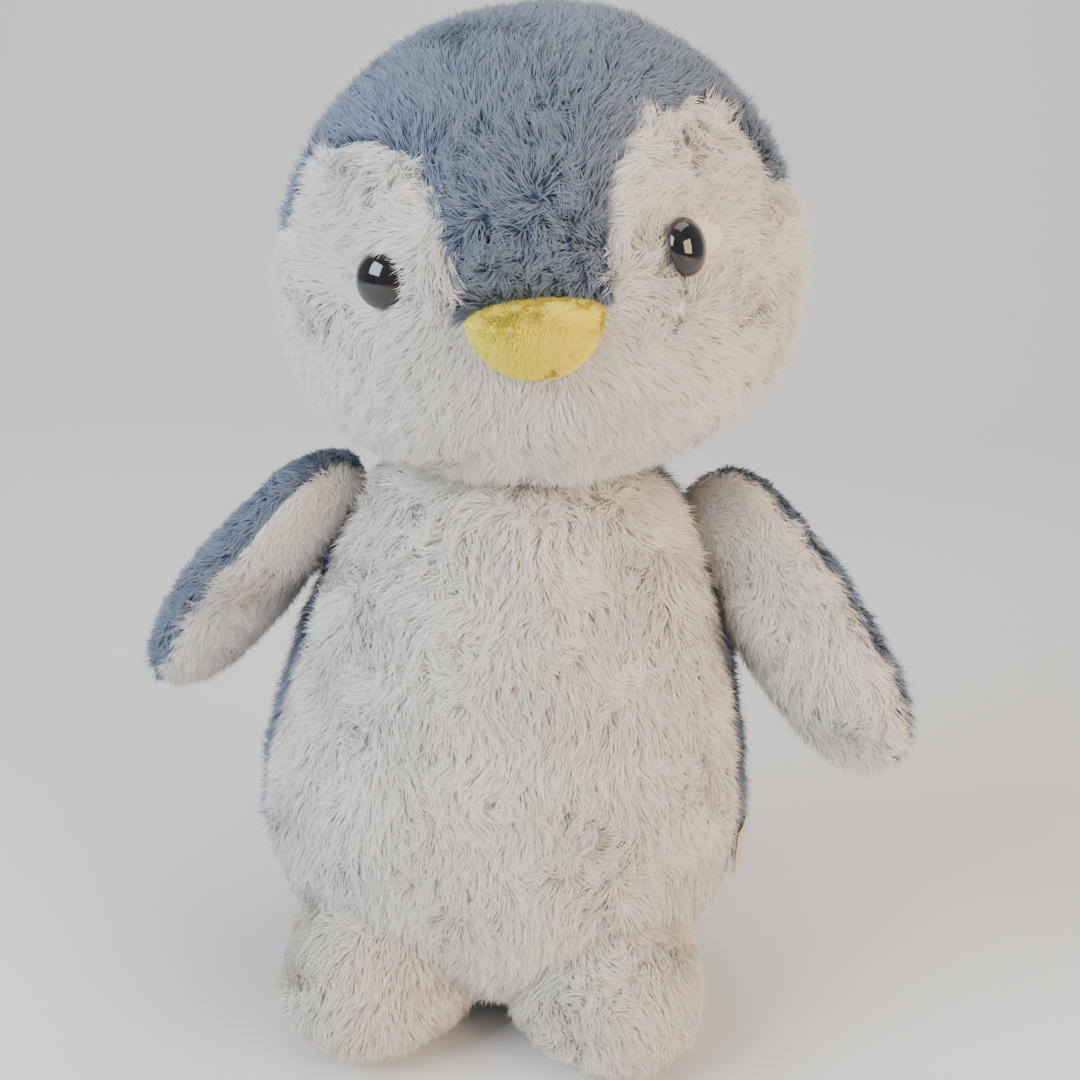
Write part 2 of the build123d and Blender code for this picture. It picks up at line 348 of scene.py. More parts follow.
@cache
def fibre_fill() -> bpy.types.Material:
    """Loose white filling fibre.

    Returns:
        The material.
    """
    shader = Shader("fibre_fill", 0.95)
    noise = shader.mottle(260.0, 6.0, (0.3, (0.60, 0.60, 0.59)), (0.7, (0.84, 0.84, 0.83)))
    noise.inputs["Distortion"].default_value = 1.5
    shader.bump(noise.outputs["Fac"], 0.002, 0.8)
    return shader.material


@cache
def twisted_thread() -> bpy.types.Material:
    """Blue sewing thread.

    Returns:
        The material.
    """
    shader = Shader("sewing_thread", 0.7)
    shader.mottle(3000.0, 2.0, (0.3, (0.10, 0.15, 0.24)), (0.7, (0.22, 0.30, 0.42)))
    return shader.material


def satin_ribbon() -> bpy.types.Material:
    """Cream satin label ribbon with its fine weave.

    Returns:
        The material.
    """
    shader = Shader("satin_ribbon", 0.38)
    wave = shader.node("TexWave", wave_type="BANDS", bands_direction="Z")
    wave.inputs["Scale"].default_value = 900.0
    place = shader.node("TexCoord")
    shader.join(place.outputs["Object"], wave.inputs["Vector"])
    colours = shader.ramp([(0.0, (0.55, 0.44, 0.22)), (1.0, (0.78, 0.70, 0.48))])
    shader.join(wave.outputs["Fac"], colours.inputs["Fac"])
    shader.join(colours.outputs["Color"], shader.principled.inputs["Base Color"])
    shader.bump(wave.outputs["Fac"], 0.0001)
    return shader.material


# ---------------------------------------------------------------- soft forms


def smooth_outline(points: Sequence[tuple[float, float]], count: int) -> tuple[np.ndarray, np.ndarray]:
    """A smooth curve through an outline from pole to pole.

    Args:
        points: (radius, height) points, the first and last on the axis.
        count: how many samples to take.

    Returns:
        The radii and the heights.
    """
    p = np.array(points, float)
    p = np.vstack([[-p[1, 0], p[1, 1]], p, [-p[-2, 0], p[-2, 1]]])
    at = np.linspace(0, len(points) - 1, count)
    i = np.minimum(at.astype(int), len(points) - 2)
    t = (at - i)[:, None]
    a, b, c, d = p[i], p[i + 1], p[i + 2], p[i + 3]
    curve = 0.5 * (2 * b + (c - a) * t + (2 * a - 5 * b + 4 * c - d) * t**2 + (3 * b - a - 3 * c + d) * t**3)
    return np.maximum(curve[:, 0], 0.0), curve[:, 1]


@dataclass
class SoftForm:
    """A stuffed shape: an outline turned about its own axis and flattened, in its own frame."""

    outline: Sequence[tuple[float, float]]
    depth_share: float
    place: Matrix
    around: int = 224
    along: int = 150

    def coarse(self) -> "SoftForm":
        """The same form with fewer faces, for what lies inside."""
        return replace(self, around=64, along=44)

    def surface(self) -> tuple[Points, Points, np.ndarray]:
        """The form's grid.

        Returns:
            Vertices in the form's frame, their outward normals, and the quads and triangles
            as rows of four, a triangle's last corner being -1.
        """
        radius, height = smooth_outline(self.outline, self.along)
        turn = np.linspace(0, 2 * math.pi, self.around, endpoint=False)
        x = radius[1:-1, None] * np.cos(turn)
        y = radius[1:-1, None] * np.sin(turn) * self.depth_share
        z = np.repeat(height[1:-1, None], self.around, axis=1)
        ring = np.stack([x, y, z], -1).reshape(-1, 3)
        points = np.vstack([ring, [0, 0, height[0]], [0, 0, height[-1]]])
        faces = ring_faces(self.along - 2, self.around)
        return points, normals_of(points, faces), faces


def ring_faces(rows: int, around: int) -> np.ndarray:
    """The faces of rings of points closed by a pole at each end.

    The rings come first, from the bottom up, then the low pole and the high pole.

    Args:
        rows: how many rings there are.
        around: how many points a ring has.

    Returns:
        Rows of four corners, -1 for none.
    """
    start = np.arange(rows - 1)[:, None] * around
    j = np.arange(around)
    k = (j + 1) % around
    quads = np.stack([start + j, start + k, start + around + k, start + around + j], -1).reshape(-1, 4)
    none = np.full_like(j, -1)
    pole = np.full_like(j, rows * around)
    last = (rows - 1) * around
    low = np.stack([pole, k, j, none], -1)
    high = np.stack([pole + 1, last + j, last + k, none], -1)
    return np.vstack([quads, low, high])


def normals_of(points: Points, faces: np.ndarray) -> Points:
    """Area-weighted vertex normals.

    Args:
        points: vertices.
        faces: rows of four corners, -1 for none.

    Returns:
        Unit normals.
    """
    a, b, c = points[faces[:, 0]], points[faces[:, 1]], points[faces[:, 2]]
    d = np.where((faces[:, 3] < 0)[:, None], a, points[faces[:, 3]])
    face_normal = np.cross(c - a, d - b)
    face_normal = np.where((faces[:, 3] < 0)[:, None], np.cross(b - a, c - a), face_normal)
    out = np.zeros_like(points)
    for corner in range(3):
        np.add.at(out, faces[:, corner], face_normal)
    has_fourth = faces[:, 3] >= 0
    np.add.at(out, faces[has_fourth, 3], face_normal[has_fourth])
    return out / np.maximum(np.linalg.norm(out, axis=1, keepdims=True), 1e-12)


def unit(v: Points) -> Points:
    """Vectors made one long."""
    return v / np.maximum(np.linalg.norm(v, axis=-1, keepdims=True), 1e-9)


def soft_noise(p: Points, size: float, seed: int) -> Points:
    """A smooth random vector at each point, made of a few turned waves.

    Args:
        p: points in millimetres.
        size: how far apart its swells are.
        seed: fixes its waves.

    Returns:
        Vectors whose parts lie between about -1 and 1.
    """
    draw = np.random.default_rng(seed)
    out = np.zeros_like(p)
    for _ in range(6):
        ways = draw.normal(size=(3, 3)) / size * 2.2
        out += np.sin(p @ ways + draw.uniform(0, 2 * math.pi, 3))
    return out / 2.4


def apply_place(place: Matrix, points: Points, only_turn: bool = False) -> Points:
    """Points or directions taken from a form's frame to the toy's.

    Args:
        place: where it stands, in millimetres.
        points: points or directions.
        only_turn: True for directions, which don't shift.

    Returns:
        The same in the toy's frame.
    """
    m = np.array(place)
    turned = points @ m[:3, :3].T
    return turned if only_turn else turned + m[:3, 3]


def make_mesh(name: str, points: Points, faces: np.ndarray) -> bpy.types.Object:
    """A mesh object at the origin, its place in its mesh.

    Args:
        name: the object's name.
        points: vertices in millimetres.
        faces: rows of four corners, -1 for none.

    Returns:
        The linked object.
    """
    used = np.unique(faces[faces >= 0])
    renumber = np.full(len(points), -1)
    renumber[used] = np.arange(len(used))
    corners = [[int(renumber[v]) for v in face if v >= 0] for face in faces]
    mesh = bpy.data.meshes.new(name)
    mesh.from_pydata((points[used] * MM).tolist(), [], corners)
    mesh.update()
    mesh.shade_smooth()
    made = bpy.data.objects.new(name, mesh)
    bpy.context.scene.collection.objects.link(made)
    return made


def settle_piece(
    piece: bpy.types.Object, body: Body, node: str | None = None
) -> None:
    """Hang a piece on its body and hide the CAD node that it stands for.

    Args:
        piece: the finished piece.
        body: the body that it rides on.
        node: the CAD node that it stands for, if any.
    """
    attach(piece, body.value)
    if node is not None:
        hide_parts(node)


def set_vectors(mesh: bpy.types.Mesh, name: str, values: Points) -> None:
    """Store a vector on each vertex."""
    layer = mesh.attributes.new(name, "FLOAT_VECTOR", "POINT")
    layer.data.foreach_set("vector", np.ascontiguousarray(values, np.float32).ravel())


def set_floats(mesh: bpy.types.Mesh, name: str, values: np.ndarray) -> None:
    """Store a number on each vertex."""
    layer = mesh.attributes.new(name, "FLOAT", "POINT")
    layer.data.foreach_set("value", np.ascontiguousarray(values, np.float32))


def finish_solidify(piece: bpy.types.Object, thickness: float) -> None:
    """Give an open skin a wall, inward, and make it real.

    Args:
        piece: the skin.
        thickness: the wall in millimetres.
    """
    wall = piece.modifiers.new("wall", "SOLIDIFY")
    wall.thickness = thickness * MM
    wall.offset = -1.0
    graph = bpy.context.evaluated_depsgraph_get()
    walled = bpy.data.meshes.new_from_object(piece.evaluated_get(graph))
    piece.modifiers.remove(wall)
    piece.data = walled


# ---------------------------------------------------------------- the pile


@dataclass(frozen=True)
class PileCut:
    """How a plush pile was cut and combed. Lengths in millimetres, density per square millimetre."""

    length: float = 8.2
    width: float = 0.36
    density: float = 2.3
    rise: float = 0.55
    wander: float = 0.95
    tuft: float = 2.8
    clump: float = 0.45
    seed: int = 1

    def under_pile(self) -> "PileCut":
        """The shorter, fuller strands between the long ones."""
        return PileCut(self.length * 0.66, self.width * 1.3, 1.25, 0.72, 0.8, self.tuft, 0.15, self.seed + 300)


class NodeTree:
    """A small builder for one Geometry Nodes tree."""

    def __init__(self, name: str) -> None:
        """Start a tree that takes and gives geometry.

        Args:
            name: its name.
        """
        self.tree = bpy.data.node_groups.new(name, "GeometryNodeTree")
        self.tree.interface.new_socket("Geometry", in_out="INPUT", socket_type="NodeSocketGeometry")
        self.tree.interface.new_socket("Geometry", in_out="OUTPUT", socket_type="NodeSocketGeometry")
        self.start = self.tree.nodes.new("NodeGroupInput")
        self.end = self.tree.nodes.new("NodeGroupOutput")

    def add_input(self, name: str, kind: str, default: object = None) -> None:
        """Add a named input to the tree.

        Args:
            name: its name.
            kind: the value's type.
            default: its first value.
        """
        socket = self.tree.interface.new_socket(name, in_out="INPUT", socket_type="NodeSocket" + kind)
        if default is not None:
            socket.default_value = default

    def node(self, kind: str, inputs: dict | None = None, **values: object) -> bpy.types.Node:
        """Add a node, set its properties, and link or set its inputs.

        Args:
            kind: the node's full type.
            inputs: values or sockets by input name or number.
            values: properties to set first.

        Returns:
            The node.
        """
        made = self.tree.nodes.new(kind)
        for key, value in values.items():
            setattr(made, key, value)
        for key, value in (inputs or {}).items():
            socket = made.inputs[key]
            if isinstance(value, bpy.types.NodeSocket):
                self.tree.links.new(value, socket)
            else:
                socket.default_value = value
        return made

    def math(self, operation: str, a: object, b: object = 0.0, c: object = 0.0) -> bpy.types.NodeSocket:
        """A number worked out from others."""
        return self.node("ShaderNodeMath", {0: a, 1: b, 2: c}, operation=operation).outputs[0]

    def vector(self, operation: str, a: object, b: object = (0, 0, 0)) -> bpy.types.NodeSocket:
        """A vector worked out from others."""
        return self.node("ShaderNodeVectorMath", {0: a, 1: b}, operation=operation).outputs[0]

    def scale(self, vector: object, factor: object) -> bpy.types.NodeSocket:
        """A vector times a number."""
        return self.node("ShaderNodeVectorMath", {0: vector, "Scale": factor}, operation="SCALE").outputs[0]

    def read(self, name: str, kind: str = "FLOAT_VECTOR") -> bpy.types.NodeSocket:
        """A named attribute."""
        return self.node("GeometryNodeInputNamedAttribute", {"Name": name}, data_type=kind).outputs[0]

    def store(
        self, geometry: object, name: str, value: object, kind: str = "FLOAT_VECTOR"
    ) -> bpy.types.NodeSocket:
        """Store a named attribute on points.

        Args:
            geometry: the geometry to store it on.
            name: its name.
            value: the field to store.
            kind: the value's type.

        Returns:
            The geometry with it.
        """
        made = self.node(
            "GeometryNodeStoreNamedAttribute",
            {"Geometry": geometry, "Name": name, "Value": value},
            data_type=kind,
            domain="POINT",
        )
        return made.outputs[0]


def pile_tree() -> bpy.types.NodeTree:
    """Strands of pile on a skin: scattered, combed, curled, and drawn together into tufts.

    The skin carries a normal, a combing direction, a length share and a density share on its
    vertices. Each strand is one small blade bent through a middle point.

    Returns:
        The tree.
    """
    t = NodeTree("pile")
    for name, kind, default in (
        ("Blade", "Object", None),
        ("Density", "Float", 2.2e6),
        ("Length", "Float", 0.011),
        ("Width", "Float", 0.0005),
        ("Rise", "Float", 0.75),
        ("Wander", "Float", 0.5),
        ("Tuft", "Float", 0.0034),
        ("Clump", "Float", 0.5),
        ("Seed", "Int", 1),
        ("Finish", "Material", None),
    ):
        t.add_input(name, kind, default)
    given = t.start.outputs
    position = t.node("GeometryNodeInputPosition").outputs[0]
    normal = t.vector("NORMALIZE", t.read("skin_normal"))
    comb = t.read("comb")
    share = t.read("pile_share", "FLOAT")

    # How a strand that stands here leans
    coarse = t.node("ShaderNodeTexNoise", {"Vector": position, "Scale": 75.0, "Detail": 1.0}, normalize=False)
    fine = t.node("ShaderNodeTexNoise", {"Vector": position, "Scale": 330.0, "Detail": 1.0}, normalize=False)
    drift = t.vector("ADD", t.scale(coarse.outputs["Color"], 1.5), t.scale(fine.outputs["Color"], 1.1))
    drift = t.scale(drift, given["Wander"])
    into = t.node("ShaderNodeVectorMath", {0: drift, 1: normal}, operation="DOT_PRODUCT").outputs["Value"]
    lean = t.vector("NORMALIZE", t.vector("ADD", comb, t.vector("SUBTRACT", drift, t.scale(normal, into))))
    low_way = t.vector("NORMALIZE", t.vector("ADD", t.scale(normal, t.math("ADD", given["Rise"], 0.55)), lean))
    flat = t.scale(lean, 1.25)
    tip_way = t.vector("NORMALIZE", t.vector("ADD", t.scale(normal, given["Rise"]), flat))
    reach = t.math("MULTIPLY", given["Length"], share)
    middle = t.vector("ADD", position, t.scale(low_way, t.math("MULTIPLY", reach, 0.5)))
    tip = t.vector("ADD", middle, t.scale(tip_way, t.math("MULTIPLY", reach, 0.52)))

    # Guides, one to a tuft
    guide_density = t.math("DIVIDE", 1.0, t.math("MULTIPLY", given["Tuft"], given["Tuft"]))
    guides = t.node(
        "GeometryNodeDistributePointsOnFaces",
        {"Mesh": given["Geometry"], "Density": guide_density, "Seed": t.math("ADD", given["Seed"], 57.0)},
        distribute_method="RANDOM",
    ).outputs["Points"]
    amount = t.math("MULTIPLY", given["Density"], t.read("density_share", "FLOAT"))
    roots = t.node(
        "GeometryNodeDistributePointsOnFaces",
        {"Mesh": given["Geometry"], "Density": amount, "Seed": given["Seed"]},
        distribute_method="RANDOM",
    ).outputs["Points"]

    nearest = t.node("GeometryNodeSampleNearest", {"Geometry": guides, "Sample Position": position}).outputs[0]

    def at_guide(value: bpy.types.NodeSocket) -> bpy.types.NodeSocket:
        """A field's value at the nearest guide.

        Args:
            value: the field to read there.

        Returns:
            The field as the guide has it.
        """
        sample = t.node(
            "GeometryNodeSampleIndex",
            {"Geometry": guides, "Value": value, "Index": nearest},
            data_type="FLOAT_VECTOR",
            domain="POINT",
        )
        return sample.outputs[0]

    away = t.vector("SUBTRACT", position, at_guide(position))
    one = t.node("FunctionNodeRandomValue", {"Min": 0.72, "Max": 1.12, "Seed": 3}, data_type="FLOAT")
    length_draw = next(s for s in one.outputs if s.type == "VALUE" and s.enabled)
    ends = {"Min": (-1, -1, -1), "Max": (1, 1, 1), "Seed": 5}
    stray = t.node("FunctionNodeRandomValue", ends, data_type="FLOAT_VECTOR")
    stray_draw = next(s for s in stray.outputs if s.type == "VECTOR" and s.enabled)
    own_stray = t.scale(stray_draw, t.math("MULTIPLY", reach, 0.16))

    guide_tip = t.vector("ADD", at_guide(tip), t.scale(away, 0.18))
    guide_middle = t.vector("ADD", at_guide(middle), t.scale(away, 0.75))

    def blend(a: object, b: object, factor: object) -> bpy.types.NodeSocket:
        """Part of the way from one vector to another.

        Args:
            a: the vector at 0.
            b: the vector at 1.
            factor: how far to go, from 0 to 1.

        Returns:
            The vector.
        """
        made = t.node("ShaderNodeMix", data_type="VECTOR", clamp_factor=True)
        sockets = [s for s in made.inputs if s.enabled]
        for socket, value in zip(sockets, (factor, a, b)):
            if isinstance(value, bpy.types.NodeSocket):
                t.tree.links.new(value, socket)
            else:
                socket.default_value = value
        return next(s for s in made.outputs if s.enabled)

    drawn_tip = t.vector("ADD", blend(tip, guide_tip, given["Clump"]), own_stray)
    drawn_middle = blend(middle, guide_middle, t.math("MULTIPLY", given["Clump"], 0.5))
    drawn_tip = t.vector("ADD", position, t.scale(t.vector("SUBTRACT", drawn_tip, position), length_draw))
    roots = t.store(roots, "strand_tip", drawn_tip)
    roots = t.store(roots, "strand_middle", drawn_middle)
    roots = t.store(roots, "strand_root", position)
    fleck = t.node("FunctionNodeRandomValue", {"Seed": 9}, data_type="FLOAT")
    roots = t.store(roots, "fleck", next(s for s in fleck.outputs if s.type == "VALUE" and s.enabled), "FLOAT")

    blade = t.node("GeometryNodeObjectInfo", {"Object": given["Blade"]}).outputs["Geometry"]
    blade = t.store(blade, "blade_at", t.node("GeometryNodeInputPosition").outputs[0])
    strands = t.node("GeometryNodeInstanceOnPoints", {"Points": roots, "Instance": blade}).outputs[0]
    strands = t.node("GeometryNodeRealizeInstances", {"Geometry": strands}).outputs[0]

    parts = t.node("ShaderNodeSeparateXYZ", {0: t.read("blade_at")})
    across, up = parts.outputs[0], parts.outputs[1]
    root, mid, top = t.read("strand_root"), t.read("strand_middle"), t.read("strand_tip")
    root_part = t.math("MULTIPLY", t.math("SUBTRACT", 1.0, up), t.math("MULTIPLY_ADD", up, -2.0, 1.0))
    mid_part = t.math("MULTIPLY", t.math("MULTIPLY", up, 4.0), t.math("SUBTRACT", 1.0, up))
    top_part = t.math("MULTIPLY", up, t.math("MULTIPLY_ADD", up, 2.0, -1.0))
    lower_spine = t.vector("ADD", t.scale(root, root_part), t.scale(mid, mid_part))
    spine = t.vector("ADD", lower_spine, t.scale(top, top_part))
    chord = t.vector("SUBTRACT", top, root)
    fallback = t.scale(t.vector("CROSS_PRODUCT", comb, normal), 1e-5)
    level = t.vector("ADD", t.vector("CROSS_PRODUCT", chord, normal), fallback)
    sideways = t.vector("NORMALIZE", level)
    taper = t.math("MULTIPLY_ADD", t.math("MULTIPLY", up, up), -0.7, 1.0)
    half = t.math("MULTIPLY", t.math("MULTIPLY", given["Width"], 0.5), t.math("MULTIPLY", taper, across))
    placed = t.vector("ADD", spine, t.scale(sideways, half))
    strands = t.node("GeometryNodeSetPosition", {"Geometry": strands, "Position": placed}).outputs[0]
    strands = t.store(strands, "along", up, "FLOAT")
    strands = t.node("GeometryNodeSetMaterial", {"Geometry": strands, "Material": given["Finish"]}).outputs[0]
    t.tree.links.new(strands, t.end.inputs[0])
    return t.tree


def blade_object() -> bpy.types.Object:
    """The blank of one strand, two faces, from 0 to 1 along Y, never shown itself.

    Returns:
        The object, kept out of the scene.
    """
    corners = [(-1, 0, 0), (1, 0, 0), (-1, 0.5, 0), (1, 0.5, 0), (0, 1, 0)]
    mesh = bpy.data.meshes.new("strand_blank")
    mesh.from_pydata(corners, [], [(0, 1, 3, 2), (2, 3, 4)])
    return bpy.data.objects.new("strand_blank", mesh)


class PileMaker:
    """Grows piles on skins and turns them into plain meshes.

    SKIN_SHADING is how much a strand is shaded like the skin under it.
    """

    SKIN_SHADING = 0.62

    def __init__(self) -> None:
        """Build the tree and the strand's blank once."""
        self.tree = pile_tree()
        self.blade = blade_object()
        self.inputs = {
            item.name: item.identifier
            for item in self.tree.interface.items_tree
            if item.item_type == "SOCKET" and item.in_out == "INPUT"
        }

    def grow(
        self, name: str, skin: bpy.types.Object, cut: PileCut, finish: bpy.types.Material
    ) -> bpy.types.Object:
        """Grow one panel's pile.

        Args:
            name: the new piece's name.
            skin: the skin, with its attributes.
            cut: how the pile is cut.
            finish: its material.

        Returns:
            The pile as a plain mesh object.
        """
        bed = bpy.data.objects.new(name + "_bed", skin.data)
        bpy.context.scene.collection.objects.link(bed)
        grower = bed.modifiers.new("pile", "NODES")
        grower.node_group = self.tree
        thin = 1.0
        values = {
            "Blade": self.blade,
            "Density": cut.density * thin / MM**2,
            "Length": cut.length * MM,
            "Width": cut.width * MM / math.sqrt(thin),
            "Rise": cut.rise,
            "Wander": cut.wander,
            "Tuft": cut.tuft * MM,
            "Clump": cut.clump,
            "Seed": cut.seed,
            "Finish": finish,
        }
        for key, value in values.items():
            grower[self.inputs[key]] = value
        graph = bpy.context.evaluated_depsgraph_get()
        mesh = bpy.data.meshes.new_from_object(bed.evaluated_get(graph))
        bpy.data.objects.remove(bed)
        mesh.name = name
        self.settle(mesh)
        pile = bpy.data.objects.new(name, mesh)
        bpy.context.scene.collection.objects.link(pile)
        log.info("%s: %d strands, %d triangles", name, len(mesh.polygons) // 2, len(mesh.polygons) // 2 * 3)
        return pile

    def settle(self, mesh: bpy.types.Mesh) -> None:
        """Lay low strands on the floor, soften the shading, and drop working attributes.

        Args:
            mesh: the pile.
        """
        count = len(mesh.vertices)
        at = np.empty(count * 3, np.float32)
        mesh.vertices.foreach_get("co", at)
        at = at.reshape(-1, 3)
        at[:, 2] = np.maximum(at[:, 2], 0.0002 + 0.0002 * np.sin(np.arange(count)))
        mesh.vertices.foreach_set("co", at.ravel())
        skin = np.empty(count * 3, np.float32)
        mesh.attributes["skin_normal"].data.foreach_get("vector", skin)
        skin = unit(skin.reshape(-1, 3))
        mesh.update()
        own = np.empty(count * 3, np.float32)
        mesh.vertex_normals.foreach_get("vector", own)
        own = own.reshape(-1, 3)
        soft = unit(self.SKIN_SHADING * skin + (1.0 - self.SKIN_SHADING) * own)
        working = ("strand_", "blade_", "skin_", "comb", "pile_share", "density_share")
        for name in [a.name for a in mesh.attributes if a.name.startswith(working)]:
            mesh.attributes.remove(mesh.attributes[name])
        mesh.shade_smooth()
        mesh.normals_split_custom_set_from_vertices(soft.tolist())


# ---------------------------------------------------------------- sewn panels

Rule = Callable[[Points, Points], np.ndarray]


@dataclass
class Panel:
    """One cut piece of plush: where it lies on its form, its colours and its pile."""

    node: str
    dye: PlushDye
    cut: PileCut
    covers: Rule
    comb: Callable[[Points, Points], Points]
    pile_share: Rule | None = None
    density_share: Rule | None = None


@dataclass
class SewnForm:
    """A stuffed form covered with plush panels, riding on one body."""

    form: SoftForm
    body: Body
    panels: list[Panel]
    stand: float = 6.0
    backing: float = 1.2
    fill: float = 0.85
    shaping: Callable[[Points, Points], Points] | None = None

    def build(self, maker: PileMaker) -> list[bpy.types.Object]:
        """Make every panel's backing and pile.

        Args:
            maker: grows the piles.

        Returns:
            The pieces.
        """
        points, normals, faces = self.form.surface()
        points = points - normals * self.stand
        if self.shaping is not None:
            points = self.shaping(points, normals)
            normals = normals_of(points, faces)
        own = points
        world = apply_place(self.form.place, points)
        out = apply_place(self.form.place, normals, only_turn=True)
        corner = np.where(faces < 0, faces[:, :1], faces)
        centre = own[corner].mean(axis=1)
        facing = unit(normals[corner].mean(axis=1))
        made = []
        for panel in self.panels:
            mask = panel.covers(centre, facing)
            chosen = faces[mask]
            skin = make_mesh(panel.node + "_skin", world, chosen)
            used = np.unique(chosen[chosen >= 0])
            comb = apply_place(self.form.place, panel.comb(own, normals), only_turn=True)
            comb = comb - out * np.sum(comb * out, axis=1, keepdims=True)
            set_vectors(skin.data, "skin_normal", out[used])
            set_vectors(skin.data, "comb", comb[used])
            tall = panel.pile_share(own, normals) if panel.pile_share else np.ones(len(own))
            dense = panel.density_share(own, normals) if panel.density_share else np.ones(len(own))
            set_floats(skin.data, "pile_share", tall[used])
            set_floats(skin.data, "density_share", dense[used])
            fur = maker.grow(panel.node + "_pile", skin, panel.cut, pile_material(panel.dye))
            piles = [fur]
            if panel.cut.length > 4.0:
                under = panel.cut.under_pile()
                piles.append(maker.grow(panel.node + "_underpile", skin, under, pile_material(panel.dye)))
            for name in ("skin_normal", "comb", "pile_share", "density_share"):
                skin.data.attributes.remove(skin.data.attributes[name])
            finish_solidify(skin, self.backing)
            skin.data.materials.clear()
            skin.data.materials.append(knit_material(panel.dye))
            settle_piece(skin, self.body, panel.node)
            for pile in piles:
                settle_piece(pile, self.body)
            made += [skin, *piles]
        return made

    def stuffing(self, node: str, inset: float) -> bpy.types.Object:
        """The fibre filling inside the skins.

        Args:
            node: the CAD node it stands for.
            inset: how far inside the pile's surface it lies.

        Returns:
            The piece.
        """
        points, normals, faces = self.form.coarse().surface()
        points = points - normals * inset
        points += normals * soft_noise(points, 22.0, 4)[:, :1] * 0.8
        core = make_mesh(node + "_wad", apply_place(self.form.place, points), faces)
        core.data.materials.append(fibre_fill())
        settle_piece(core, self.body, node)
        return core


# ---------------------------------------------------------------- the toy's forms


def lerp(a: np.ndarray | float, b: np.ndarray | float, t: np.ndarray) -> np.ndarray:
    """Part of the way from a to b."""
    return a + (b - a) * np.clip(t, 0.0, 1.0)


def step_down(x: np.ndarray, start: float, end: float) -> np.ndarray:
    """1 below start, 0 above end, smooth between."""
    t = np.clip((x - start) / (end - start), 0.0, 1.0)
    return 1.0 - t * t * (3.0 - 2.0 * t)


@dataclass
class BodyForm:
    """The pear body: white belly in front, two blue back panels and a round base panel."""

    outline: tuple = (
        (0.0, 0.4), (22.0, 0.4), (38.0, 5.5), (53.0, 16.0), (65.0, 29.5), (72.6, 45.0), (75.4, 64.0),
        (73.8, 84.0), (70.0, 102.0), (65.2, 120.0), (58.5, 138.0), (53.0, 152.0), (46.8, 164.0), (38.0, 174.0),
        (20.0, 180.5), (0.0, 182.0),
    )
    depth_share: float = 0.79
    seam_y: float = -13.0
    shoulder_seam_y: float = -1.0
    base_height: float = 9.0

    def seam(self, p: Points) -> np.ndarray:
        """How far forward the side seam lies; it runs back over the shoulders."""
        return lerp(self.seam_y, self.shoulder_seam_y, (p[:, 2] - 122.0) / 34.0)

    def shaping(self, p: Points, n: Points) -> Points:
        """Dimples and swells of the filling, and the dip along each seam.

        Args:
            p: points in the form's own frame, in millimetres.
            n: their outward normals.

        Returns:
            The shaped points.
        """
        out = p + n * soft_noise(p, 46.0, 11)[:, :1] * 0.9
        side_seam = np.exp(-(((p[:, 1] - self.seam(p)) / 3.0) ** 2)) * step_down(-p[:, 2], -20.0, -6.0)
        back_seam = np.exp(-((p[:, 0] / 2.6) ** 2)) * (p[:, 1] > 0) * step_down(-p[:, 2], -20.0, -6.0)
        return out - n * ((side_seam * 1.8 + back_seam * 1.6)[:, None])

    def down_comb(self, p: Points, n: Points) -> Points:
        """The pile is combed down, and a little forward at the sides.

        Args:
            p: points in the form's own frame, in millimetres.
            n: their outward normals; not used.

        Returns:
            A combing direction for each point.
        """
        comb = np.tile(np.array([0.0, 0.0, -0.85]), (len(p), 1))
        comb[:, 1] -= 0.15
        comb += soft_noise(p, 30.0, 21) * 0.28
        comb[:, 2] *= 1.0 - 0.7 * step_down(p[:, 2], 6.0, 16.0)
        return comb

    def trimmed(self, p: Points, n: Points) -> np.ndarray:
        """Shorter pile near the floor, where it is pressed."""
        return 1.0 - 0.55 * step_down(p[:, 2], 8.0, 24.0)

    def make(self, maker: PileMaker) -> list[bpy.types.Object]:
        """Build the body.

        Args:
            maker: grows the piles.

        Returns:
            The pieces.
        """
        form = SoftForm(self.outline, self.depth_share, Matrix.Identity(4), 168, 112)
        above = lambda c: c[:, 2] > self.base_height
        belly = Panel(
            "belly_panel", WHITE, PileCut(seed=11, density=2.25, width=0.40),
            lambda c, n: above(c) & (c[:, 1] < self.seam(c)), self.down_comb, self.trimmed,
        )
        left = Panel(
            "back_panel_left", BLUE, PileCut(seed=12, density=1.75, width=0.40),
            lambda c, n: above(c) & (c[:, 1] >= self.seam(c)) & (c[:, 0] < 0), self.down_comb, self.trimmed,
        )
        right = Panel(
            "back_panel_right", BLUE, PileCut(seed=13, density=1.75, width=0.40),
            lambda c, n: above(c) & (c[:, 1] >= self.seam(c)) & (c[:, 0] >= 0), self.down_comb, self.trimmed,
        )
        base = Panel(
            "base_panel", BLUE, PileCut(seed=14, length=4.0, density=1.6, width=0.5, rise=0.3),
            lambda c, n: c[:, 2] <= self.base_height, self.down_comb,
        )
        sewn = SewnForm(form, Body.TORSO, [belly, left, right, base], stand=3.5, shaping=self.shaping)
        return sewn.build(maker) + [sewn.stuffing("body_stuffing", 7.5)]


